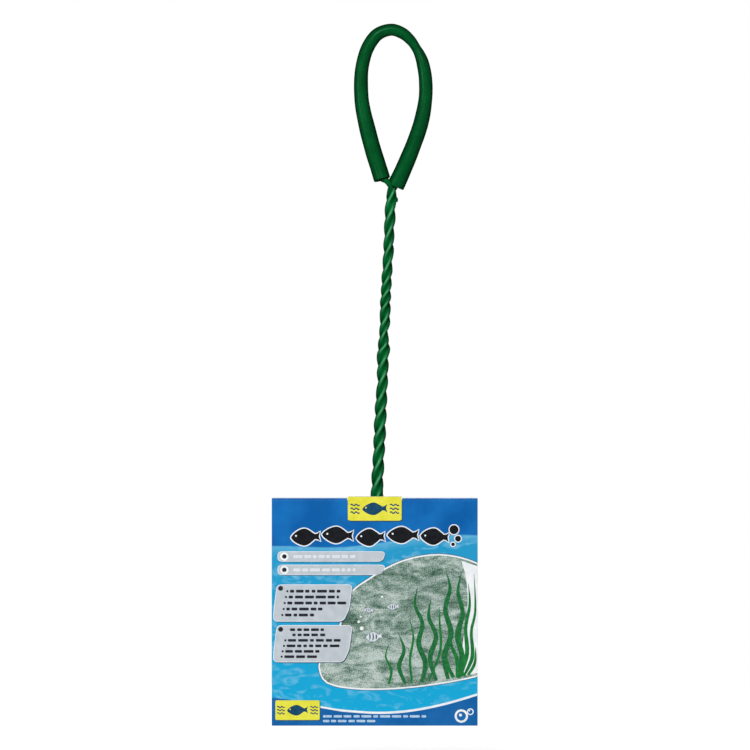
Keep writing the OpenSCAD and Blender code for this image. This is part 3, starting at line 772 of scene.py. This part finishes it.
def hoop_place(col, level):
    """Place on the hoop; the back panel hangs from its upper half, level 1, and the front
    panel from its lower half, level -1."""
    return np.stack([NECK_X + col[0] * HOOP_W / 2, 0 * col[0],
        MID_Z + level * col[1] * HOOP_H / 2], axis=-1)


def column_tail(col, level):
    a = tail_angle(hoop_place(col, level)[..., 2])[..., None]
    past_x = np.maximum(0, (np.abs(col[0]) - 1 + SHARE_X) / SHARE_X)
    past_z = np.maximum(0, (col[1] - 1 + SHARE_Z) / SHARE_Z)
    outward = unit(np.stack([np.sign(col[0]) * past_x, 0 * past_x, level * past_z], axis=-1))
    return np.sin(a) * UP_Y - np.cos(a) * outward


def rim_place(col, level, lead):
    return hoop_place(col, level) + (TAIL_END + 0.1 + lead)[..., None] * column_tail(col, level)


def free_place(col, level, v):
    """Place on the bag as it hangs, a share v of the way down from the hoop."""
    part = smooth(v)
    sign = np.where(col[0] < 0, -1, 1)
    across = col[0] * (1 - part) + sign * (1 - col[2]) * part
    lift = (col[1] * (1 - part) + np.sin(np.radians(90 * col[2])) * part)[..., None]
    middle = guide(back_line if level > 0 else front_line, v)
    low = guide(side_line, v)
    spread = NECK_X + across * guide(width_line, v)[..., 0] * HOOP_W / 2
    return low + (middle - low) * lift + np.stack([spread, 0 * v, 0 * v], axis=-1)


def pressed(place):
    """The place kept in front of the ears, and 1 where no ear is behind it."""
    free = smooth((PRESSED_Z - place[..., 2]) / 6)
    y = place[..., 1]
    flat = np.minimum(y, PRESSED_Y)
    return np.stack([place[..., 0], flat + (y - flat) * free, place[..., 2]], axis=-1), free


def bag_place(k, level, v):
    """Place of the bag's wall; v below 0 is the run inside the hem, in millimetres."""
    col = column(k)
    w = np.clip(v, 0, 1)
    none = np.zeros_like(w)
    rim = rim_place(col, level, none + 1)
    hung = free_place(col, level, w) + ((1 - w) ** 3)[..., None] * (
        rim - free_place(col, level, none))
    place, free = pressed(hung)
    inside = rim_place(col, level, none + 1 + np.minimum(v, 0))
    return np.where((v < 0)[..., None], inside, place), free


def folds(arc_share, v, level):
    shift = 0.9 if level > 0 else 2.3
    swing = arc_share * 2 * math.pi
    wide = np.sin(4 * swing + shift + 1.2 * np.sin(2.6 * v + swing))
    fine = np.sin(9 * swing + 2.1 * shift + 1.7 * np.sin(5 * v - swing))
    tiny = np.sin(17 * swing + 3.0 * v + shift)
    ends = np.sin(math.pi * np.clip(v, 0, 1)) ** 0.8 * np.sin(math.pi * arc_share) ** 0.6
    return ends * (0.85 * wide + 0.45 * fine + 0.16 * tiny)


k_fine = np.linspace(0, 2 * QUARTER, 1201)
hoop_at = lengths(hoop_place(column(k_fine), 1))
INSIDE = 2.4  # netting held in the hem
PITCH, THREAD, CELL = 1.0, 0.3, 0.5


def panel_wall(arc_at, v, level):
    """Wall of a panel by the way round the hoop, in millimetres, and the way down."""
    k = np.interp(arc_at, hoop_at, k_fine)
    place, free = bag_place(k, level, v)
    step = 0.01
    ahead, _ = bag_place(k, level, np.minimum(v + step, 1))
    behind, _ = bag_place(k, level, np.where(v > step, v - step, v))
    beside, _ = bag_place(np.minimum(k + 0.05, 2 * QUARTER), level, v)
    before, _ = bag_place(np.maximum(k - 0.05, 0), level, v)
    down, across = unit(ahead - behind + 1e-9), unit(beside - before + 1e-9)
    normal = unit(np.cross(across, down))
    side = np.cross(down, normal)
    lift = folds(arc_at / hoop_at[-1], v, level) * free
    return place + lift[..., None] * normal, normal, side


def net_panel(name, level, node):
    """Netting of strands that sway to their neighbours on either side in turn."""
    reach = hoop_at[-1]
    middle, _ = bag_place(np.full(80, 0.6 * QUARTER), level, np.linspace(0, 1, 80))
    deep = lengths(middle)[-1]
    rows = int(round((deep + INSIDE) / CELL)) + 1
    down = np.linspace(-INSIDE, deep, rows)
    v = np.where(down < 0, down, down / deep)
    strands = int(reach / PITCH) - 1
    first = (reach - (strands - 1) * PITCH) / 2
    swing = np.array([1, 1, -1, -1])[np.arange(rows) % 4] * (PITCH - THREAD * 0.9) / 2
    sign = np.where(np.arange(strands) % 2 == 0, 1, -1)
    arc_at = first + PITCH * np.arange(strands) + swing[:, None] * sign
    arc_at = np.clip(arc_at, 0.05, reach - 0.05)
    place, normal, side = panel_wall(arc_at, np.broadcast_to(v[:, None], arc_at.shape), level)
    loops = np.stack([place + THREAD / 2 * way for way in (side, normal, -side, -normal)], axis=2)
    faces = [face for n in range(strands) for face in tube_faces(rows, 4, n * rows * 4)]
    item = build(name, loops.transpose(1, 0, 2, 3).reshape(-1, 3), faces, 180)
    dress(item, "net", "mesh", netting_nylon, instead=[node])


net_panel("bag_back_netting", 1, "bag_back_panel")
net_panel("bag_front_netting", -1, "bag_front_panel")


def bag_binding():
    """Bound seam down one side of the bag, along its bottom and up its other side."""
    down = np.linspace(0, 1, 60)
    ks = np.linspace(0, 2 * QUARTER, 160)
    first, last = (bag_place(np.full(60, k), 1, down)[0] for k in (0.0, 2.0 * QUARTER))
    low = bag_place(ks, 1, np.ones_like(ks))[0]
    path, at = evened(np.vstack([first[:-1], low, last[::-1][1:]]), 0.14, 30, 0)
    radii = 0.52 + 0.07 * np.sin(2 * math.pi * at[:, None] / 0.75 + around(12))
    item = swept("bag_seam_binding", round_rings(path, radii, 12, above=UP_Y + 0.2), sharp=80)
    dress(item, "net", "tape", bound_cloth, instead=["bag_seam"])


bag_binding()


# Card
def board(name, verts, faces, kinds, rounding, body, node):
    """A piece of the card; kinds says of each face if it is print, back or cut edge."""
    item = build(name, verts, faces, 35)
    for material in (INKS["water"], board_back, board_cut):
        item.data.materials.append(material)
    item.data.polygons.foreach_set("material_index", kinds)
    dress(softened(item, rounding), body, "card", instead=[node])


def header_card():
    """Front panel with its tab, and the two strips beside the tab folded over the hoop."""
    crease, slit, rows = 1.1, 0.3, 23
    tab_l, tab_r, low = CARD_X - TAB_HALF, CARD_X + TAB_HALF, FOLD_Z - crease
    xs = [*np.linspace(CARD_L, tab_l - slit, 9), *np.linspace(tab_l, tab_r, 7),
        *np.linspace(tab_r + slit, CARD_R, 9)]
    outer, inner, at, faces = [], [], {}, []

    def add(row, columns, y, z, back_y, back_z):
        for j in columns:
            at[row, j] = len(outer)
            outer.append([xs[j], y, z])
            inner.append([xs[j], back_y, back_z])

    def fill(first, count, columns):
        faces.extend((at[i, j], at[i, j + 1], at[i + 1, j + 1], at[i + 1, j])
            for i in range(first, first + count) for j in columns[:-1])
    for i, z in enumerate(np.linspace(CARD_LOW, low, rows + 1)):
        add(i, range(25), FRONT_Y, z, FRONT_Y + CARD_T, z)
    fill(0, rows, range(25))
    for strip in (range(0, 9), range(16, 25)):
        for n in range(1, 9):
            a = math.radians(90 * n / 8)
            front, back = ((FRONT_Y + crease - r * math.cos(a), low + r * math.sin(a))
                for r in (crease, crease - CARD_T))
            add(rows + n, strip, *front, *back)
        for n, y in enumerate((0.0, 2.0, 3.0)):
            add(rows + 9 + n, strip, y, FOLD_Z, y, FOLD_Z - CARD_T)
        fill(rows, 11, strip)
    for n, z in enumerate((FOLD_Z - 0.4, FOLD_Z + 0.9)):
        add(rows + 1 + n, range(9, 16), FRONT_Y, z, FRONT_Y + CARD_T, z)
    fill(rows, 2, range(9, 16))

    count = len(outer)
    edges = dict.fromkeys(edge for face in faces for edge in zip(face, face[1:] + face[:1]))
    walls = [(a, b, count + b, count + a) for a, b in edges if (b, a) not in edges]
    flipped = [tuple(count + i for i in face[::-1]) for face in faces]
    kinds = [0] * len(faces) + [1] * len(faces) + [2] * len(walls)
    board("printed_card", outer + inner, faces + flipped + walls, kinds, 0.08,
        "card", "header_card")


def ear(name, body, node, left):
    """Board that hangs from the rear crease, with its print behind and its low corners round."""
    corner, columns = 5.0, 12
    straight = EAR_H - corner
    drops = ([0.0, 2.0, 4.5, 7.0, 9.5, 12.0, 13.5, straight]
        + [straight + corner * math.sin(math.radians(a)) for a in range(10, 91, 10)])
    over = [(HINGE_Y + BOARD_HALF * math.cos(a), -BOARD_HALF * math.sin(a))
        for a in np.radians(range(30, 180, 30))]
    profile = ([(HINGE_Y + BOARD_HALF, d) for d in drops[::-1]] + over
        + [(HINGE_Y - BOARD_HALF, d) for d in drops])
    verts = []
    for y, d in profile:
        past = min(max(d - straight, 0.0), corner)
        inside = corner - math.sqrt(max(corner ** 2 - past ** 2, 0.0))
        verts += [[x, y, HINGE_Z - d]
            for x in np.linspace(left + inside, left + EAR_W - inside, columns + 1)]
    last, bend = len(profile) - 1, len(drops) - 1

    def at(i, j):
        return i * (columns + 1) + j
    faces = [(at(i, j), at(i, j + 1), at(i + 1, j + 1), at(i + 1, j))
        for i in range(last) for j in range(columns)]
    faces += [(at(0, j), at(0, j + 1), at(last, j + 1), at(last, j)) for j in range(columns)]
    for j in (0, columns):
        faces += [(at(i, j), at(i + 1, j), at(last - 1 - i, j), at(last - i, j))
            for i in range(bend)]
        faces.append(tuple(at(i, j) for i in range(bend, last - bend + 1)))
    printed_faces, skin = (bend + 3) * columns, last * columns
    kinds = ([0] * printed_faces + [1] * (skin - printed_faces) + [2] * (len(faces) - skin))
    board(name, verts, faces, kinds, 0.07, body, node)


header_card()
ear("printed_left_ear", "left_flap", "left_ear", CARD_L)
ear("printed_right_ear", "right_flap", "right_ear", CARD_R - EAR_W)


# Print: thin closed layers of ink on the card's front. Their outlines were drawn over a crop
# of the picture, six times its size, with its corner at CROP_PX.
CROP_PX, ZOOM = (262, 490), 6
LAYER_T, LAYER_BACK_Y = 0.02, FRONT_Y + 0.01
CARD_EDGE = 0.03


def spot(x, y):
    return ((x / ZOOM + CROP_PX[0] - ORIGIN_PX[0]) * PX,
        (ORIGIN_PX[1] - CROP_PX[1] - y / ZOOM) * PX)


def spots(*places):
    return [spot(x, y) for x, y in places]


def drawn(*places):
    return [tuple(p) for p in curve(spots(*places), 6)]


def cast(points, right, down):
    return [(x + right, z - down) for x, z in points]


def rounded(points, radius, steps=6):
    out = []
    count = len(points)
    for i in range(count):
        a, b, c = (np.array(points[(i + k) % count], float) for k in (-1, 0, 1))
        r = min(radius, np.linalg.norm(a - b) / 2.2, np.linalg.norm(c - b) / 2.2)
        start, end = b + unit(a - b) * r, b + unit(c - b) * r
        out += [tuple((1 - t) ** 2 * start + 2 * t * (1 - t) * b + t * t * end)
            for t in np.linspace(0, 1, steps)]
    return out


def grown(points, by):
    points = np.array(points, float)
    area = np.sum(points[:, 0] * np.roll(points[:, 1], -1)
        - np.roll(points[:, 0], -1) * points[:, 1])
    ahead = unit(np.roll(points, -1, axis=0) - points + 1e-9)
    behind = unit(points - np.roll(points, 1, axis=0) + 1e-9)
    way = unit(ahead + behind)
    normal = np.stack([way[:, 1], -way[:, 0]], axis=1) * (1 if area > 0 else -1)
    return [tuple(p) for p in points + by * normal]


def within_card(points):
    return [(min(max(x, CARD_L + CARD_EDGE), CARD_R - CARD_EDGE), max(z, CARD_LOW + CARD_EDGE))
        for x, z in points]


def ribbon(points, widths, steps=6):
    line = curve(points, steps)
    wide = curve(np.array(widths)[:, None], steps)
    way = headings(line)
    normal = np.stack([-way[:, 1], way[:, 0]], axis=1)
    return [tuple(p) for p in [*(line + normal * wide / 2), *(line - normal * wide / 2)[::-1]]]


def plants(*rows):
    """Stalks, from rows of their widths and their places."""
    return [within_card(ribbon(spots(*places), widths)) for widths, *places in rows]


def disc(x, z, radius, sides=28):
    return [(x + radius * math.cos(a), z + radius * math.sin(a))
        for a in np.linspace(0, 2 * math.pi, sides, endpoint=False)]


def dots(*rows, sides=28, more=0.0):
    return [disc(*spot(x, y), radius + more, sides) for x, y, radius in rows]


def layer(name, outlines, level, ink):
    """One closed layer. Outlines that cross can't share a plane, so they lie at six depths."""
    bm = bmesh.new()
    for n, outline in enumerate(outlines):
        depth = level + 0.15 * (n % 6)
        front, back = ([bm.verts.new((x * MM, y * MM, z * MM)) for x, z in outline]
            for y in (FRONT_Y - LAYER_T * depth, LAYER_BACK_Y))
        flat = [bm.faces.new(front), bm.faces.new(back[::-1])]
        for k in range(len(outline)):
            after = (k + 1) % len(outline)
            bm.faces.new((front[k], back[k], back[after], front[after]))
        for face in flat:
            face.normal_update()
        bmesh.ops.triangulate(bm, faces=flat)
    bmesh.ops.recalc_face_normals(bm, faces=bm.faces)
    mesh = bpy.data.meshes.new("print_" + name)
    bm.to_mesh(mesh)
    bm.free()
    dress(link("print_" + name, mesh), "card", "card", INKS[ink])


def fish(x, z, size, lean, deep, tail=0.34):
    """Outline of a plain fish that looks to the left."""
    top = [(-1.0, 0.0), (-0.86, 0.34), (-0.55, 0.72), (-0.2, 0.95), (0.1, 0.9),
        (0.42, 0.55), (0.62, 0.28)]
    fin = [(0.8, 0.55), (1.0, 0.98), (0.93, 0.35), (0.9, 0.0)]
    points = [(a, b * deep) for a, b in curve(top, 4)] + [(a, b * tail) for a, b in fin]
    points += [(a, -b) for a, b in points[::-1][1:-1]]
    c, s = math.cos(lean), math.sin(lean)
    return [(x + size * (a * c - b * s), z + size * (a * s + b * c)) for a, b in points]


def dashes(seed, rows, height):
    """Rows of plain dashes where small print would be."""
    rng = np.random.default_rng(seed)
    out = []
    for x0, x1, y in rows:
        x, top, low = x0, y - height / 2, y + height / 2
        while x < x1 - 12:
            end = x + min(rng.uniform(20, 62), x1 - x)
            out.append(rounded(spots((x, top), (end, top), (end, low), (x, low)), 0.35, 3))
            x = end + rng.uniform(9, 13)
    return out


def mark(name, x, z, scale, level):
    """A plain fish between two pairs of short waves."""
    out = [fish(x, z, 5.6 * scale, 0.04, 0.52)]
    for side in (-8.8, 8.8):
        for high in (-1.7, 0.0, 1.7):
            wave = [(x + scale * (side + t), z + scale * (high + 0.34 * math.sin(math.pi * t)))
                for t in np.linspace(-2, 2, 17)]
            out.append(ribbon(wave, [0.55 * scale] * 17, 2))
    layer(name, out, level, "mark")


def tab_print():
    """The yellow tab, with a plain fish between short waves."""
    high, round_z, low = FOLD_Z - 4.6, spot(0, 178)[1], spot(0, 184)[1]
    tab = [(CARD_X + x, z) for x, z in ((-TAB_HALF, FOLD_Z + 0.82), (TAB_HALF, FOLD_Z + 0.82),
        (TAB_HALF, round_z), (TAB_HALF - 1, low), (1 - TAB_HALF, low), (-TAB_HALF, round_z))]
    shade = [(x, min(z, FOLD_Z - 1.2)) for x, z in cast(tab, 0.35, 0.45)]
    layer("tab_shade", [shade], 1, "shade")
    layer("tab", [tab], 3, "yellow")
    mark("tab_mark", CARD_X, high, 1.0, 4)
    layer("tab_mark_light", [disc(CARD_X - 3.95, high + 0.5, 0.4, 12)], 5, "yellow")


def school_print():
    """Row of fish in place of the large words, with three bubbles."""
    school = [(262, 282, 88, 0.05, 0.60), (454, 270, 94, -0.04, 0.55),
        (652, 284, 86, 0.06, 0.62), (846, 270, 94, 0.0, 0.54), (1036, 280, 86, -0.06, 0.60)]
    air = [(1152, 238, 2.0), (1176, 292, 1.3), (1146, 326, 0.8)]
    bodies = [fish(*spot(x, y), size / ZOOM * PX, lean, deep) for x, y, size, lean, deep in school]
    layer("school_rim", [grown(body, 0.5) for body in bodies] + dots(*air, more=0.45), 4, "white")
    layer("school", bodies + dots(*air), 6, "black")
    layer("school_eyes", dots(*((x - size * 0.66, y - 7, 0.42) for x, y, size, *_ in school),
        sides=14), 7, "white")


def bar_print(n, y):
    """A long bar with a dot at its head."""
    bar = rounded(spots((96, y), (740, y), (722, y + 56), (96, y + 56)), 2.0)
    layer(f"bar_shade_{n}", [cast(bar, 0.4, 0.5)], 1, "shade")
    layer(f"bar_{n}", [bar], 4, "panel")
    layer(f"bar_rim_{n}", [grown(bar, 0.22)], 3, "white")
    layer(f"bar_head_{n}", dots((134, y + 28, 1.9)), 5, "white")
    layer(f"bar_dot_{n}", dots((134, y + 28, 1.0), sides=20), 6, "text")
    layer(f"bar_text_{n}", dashes(5 + n, [(188, 560, y + 28)], 18), 5, "mist")


def panel_print(n, y, low):
    panel = rounded(spots((92, y), (540, y), (520, low - 70), (486, low), (70, low),
        (72, low - 60)), 1.9)
    layer(f"panel_shade_{n}", [cast(panel, 0.5, 0.6)], 5, "shade")
    layer(f"panel_rim_{n}", [grown(panel, 0.25)], 6, "white")
    layer(f"panel_{n}", [panel], 7, "panel")


def small_print():
    """Rows of dashes on the two panels, with their points."""
    rows = [(168, 470, 607), (160, 462, 642), (152, 505, 678), (146, 385, 714), (138, 312, 750)]
    more = [(168, 372, 838), (182, 398, 869), (156, 472, 902), (148, 488, 935), (140, 345, 968),
        (134, 342, 1000)]
    layer("small_rows_0", dashes(11, rows, 17), 8, "text")
    layer("small_rows_1", dashes(12, more, 16), 8, "text")
    layer("small_points", dots(*((x - 16, y, 0.5) for x, _, y in rows + more[2:]), sides=12)
        + dots((112, 590, 1.1), (112, 836, 1.1), sides=18), 8, "text")


def window_print():
    """Window with netting and water plants."""
    top = drawn((505, 660), (560, 596), (640, 540), (740, 478), (840, 432), (940, 405),
        (1050, 393), (1150, 402), (1230, 422), (1292, 446))
    low = drawn((1292, 1112), (1150, 1142), (980, 1168), (800, 1186), (620, 1190),
        (470, 1176), (392, 1152))
    left = drawn((392, 1152), (360, 1112), (350, 1040), (392, 960), (450, 860), (490, 760),
        (505, 660))
    window = top + low + left[1:-1]
    layer("window_line", [within_card(grown(window, 0.95))], 1, "shade")
    layer("window_rim", [within_card(grown(window, 0.7))], 2, "white")
    layer("window", [within_card(window)], 3, "mesh")
    bright = (drawn((1196, 424), (1224, 530), (1234, 680), (1214, 850), (1196, 990), (1180, 1120))
        + drawn((1292, 1098), (1292, 456)) + [spot(1240, 440)])
    layer("window_light", [within_card(bright)], 4, "white")
    layer("blades", plants(
        ([1.6, 2.4, 2.4, 2.1, 1.5, 0.1], (1116, 1134), (1094, 1000), (1134, 860), (1100, 720),
            (1128, 590), (1104, 490)),
        ([1.4, 2.2, 2.1, 1.5, 0.1], (1046, 1144), (1008, 1010), (1044, 880), (1000, 760),
            (1016, 650)),
        ([1.5, 2.3, 2.3, 1.9, 1.3, 0.1], (958, 1154), (980, 1040), (940, 920), (962, 800),
            (918, 690), (934, 580)),
        ([1.3, 1.9, 1.5, 0.1], (860, 1162), (822, 1060), (852, 960), (818, 860)),
        ([1.6, 2.4, 2.3, 2.0, 1.5, 0.1], (1176, 1128), (1200, 1000), (1172, 870), (1204, 740),
            (1176, 610), (1196, 500))), 5, "frame")
    layer("stems", plants(
        ([0.9, 1.1, 0.8, 0.1], (760, 1166), (776, 1080), (742, 1000), (762, 920)),
        ([0.8, 1.1, 0.9, 0.1], (900, 1158), (888, 1020), (908, 880), (880, 760)),
        ([0.8, 1.1, 0.9, 0.1], (1000, 1146), (1070, 960), (1066, 800), (1064, 700))), 7, "leaf")
    layer("leaves", plants(
        ([1.2, 1.9, 1.5, 1.2, 0.1], (1190, 1120), (1230, 980), (1222, 830), (1246, 690),
            (1238, 560)),
        ([1.0, 1.7, 1.3, 1.0, 0.1], (1210, 1118), (1262, 1000), (1256, 850), (1280, 720),
            (1272, 500)),
        ([1.2, 1.8, 1.2, 0.1], (1170, 1124), (1170, 1020), (1136, 930), (1140, 850)),
        ([1.6, 1.5, 0.1], (1150, 1126), (1118, 1060), (1108, 990)),
        ([1.2, 1.3, 0.1], (1236, 1110), (1276, 1040), (1282, 940)),
        ([1.4, 1.4, 1.1, 0.1], (1200, 1116), (1206, 1000), (1186, 900), (1206, 780))), 6, "leaf")


def swimmer_print():
    """Three small striped fish in the window, with bubbles."""
    bodies, stripes = [], []
    for px, py, size, lean, deep in ((672, 880, 50, 0.12, 0.6), (786, 700, 36, 0.05, 0.5),
            (640, 720, 30, -0.1, 0.5)):
        x, z = spot(px, py)
        big = size / ZOOM * PX
        bodies.append(fish(x, z, big, lean, deep, 0.4))
        for t, share in ((-0.52, 0.62), (-0.14, 0.72), (0.24, 0.5)):
            at, tall = x + t * big, share * deep * big
            stripes.append(ribbon([(at, z + tall), (at + 0.05 * big, z), (at, z - tall)],
                [0.1 * big, 0.16 * big, 0.1 * big], 4))
    layer("swimmer_rims", [grown(body, 0.14) for body in bodies], 7, "stripe")
    layer("swimmers", bodies, 8, "silver")
    layer("swimmer_stripes", stripes, 9, "stripe")
    layer("bubbles", dots((598, 830, 0.9), (580, 790, 0.6), (592, 760, 0.42), (720, 640, 0.5),
        sides=20), 8, "white")


def foot_print():
    """Dark foot under a pale line, with a tag, a row of dashes and two rings."""
    crest = drawn((330, 1292), (480, 1316), (700, 1330), (900, 1316), (1100, 1276), (1292, 1220))
    band = crest + [(x, z - 2.4 + 0.9 * abs(x - 5) / 35) for x, z in crest[::-1]]
    foot = (drawn((56, 1246), (180, 1262), (330, 1304))
        + drawn((480, 1330), (700, 1344), (900, 1330), (1100, 1290), (1292, 1234))
        + [(CARD_R, CARD_LOW), (CARD_L, CARD_LOW)])
    layer("foot_line", [within_card(band)], 2, "white")
    layer("foot", [within_card(foot)], 3, "deep")
    tag = rounded(spots((80, 1262), (346, 1262), (346, 1380), (80, 1380)), 0.7, 4)
    layer("tag_shade", [cast(tag, 0.3, 0.4)], 4, "shade")
    layer("tag", [tag], 5, "yellow")
    x, z = spot(213, 1321)
    mark("tag_mark", x, z, 0.84, 6)
    layer("tag_mark_light", [disc(x - 3.3, z + 0.4, 0.34, 12)], 7, "yellow")
    layer("foot_rows", dashes(21, [(366, 985, 1358), (366, 690, 1386)], 14), 5, "pale")
    for n, (x, y, r) in enumerate(((1196, 1356, 3.0), (1250, 1330, 1.5))):
        layer(f"ring_{n}", dots((x, y, r)), 4, "white")
        layer(f"ring_inside_{n}", dots((x, y, r * 0.68)), 5, "deep")
        layer(f"ring_light_{n}", dots((x - 5, y - 6, r * 0.22), sides=14), 6, "white")


tab_print()
school_print()
bar_print(0, 371)
bar_print(1, 451)
panel_print(0, 570, 786)
panel_print(1, 814, 1030)
small_print()
window_print()
swimmer_print()
foot_print()


# Floor, world and lights, in metres
FLOOR_Z, FLOOR_R, LIT = -0.345, 0.5, Vector((-0.007, 0, -0.15))


def stage():
    """Pale floor and backdrop: white where they are seen, but dim as a light on the net."""
    mesh = bpy.data.meshes.new("floor")
    mesh.from_pydata([(x, y, FLOOR_Z) for x, y in disc(0, 0, FLOOR_R, 64)], [],
        [tuple(range(64))])
    floor = link("floor", mesh)
    f = Finish("floor_paint", 0.9, 0.1, Base_Color=(0.86, 0.86, 0.86, 1),
        Emission_Color=(1, 1, 1, 1))
    f.feed(f.shader, "Emission Strength", f.times(f.seen_by("Camera", "Glossy"), 0.4))
    mesh.materials.append(f.material)

    world = bpy.data.worlds.new("studio")
    bpy.context.scene.world = world
    world.use_nodes = True
    world.node_tree.nodes.clear()
    w = Nodes(world.node_tree)
    soft, white = (w.made("Background", 0, {"Color": [1, 1, 1, 1], "Strength": strength})
        for strength in (0.2, 1.0))
    seen = w.seen_by("Camera", "Glossy", "Transmission")
    w.feed(w.node("OutputWorld"), "Surface", w.made("MixShader", 0, {0: seen, 1: soft, 2: white}))


def lamp(name, place, size, power):
    data = bpy.data.lights.new(name, "AREA")
    data.shape = "SQUARE"
    data.size = size
    data.energy = power
    item = link(name, data)
    item.location = place
    item.rotation_euler = (LIT - Vector(place)).to_track_quat("-Z", "Y").to_euler()


stage()
lamp("key_light", (-1.0, -0.92, 0.1), 0.25, 5.2)
lamp("high_light", (-0.12, -1.0, 0.45), 0.2, 8.0)
lamp("back_light", (0.3, 1.1, 0.6), 0.6, 9)

scene = bpy.context.scene
scene.view_settings.view_transform = "Standard"
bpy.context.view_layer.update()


def plain(box):
    return [[float(x) for x in corner] for corner in box]
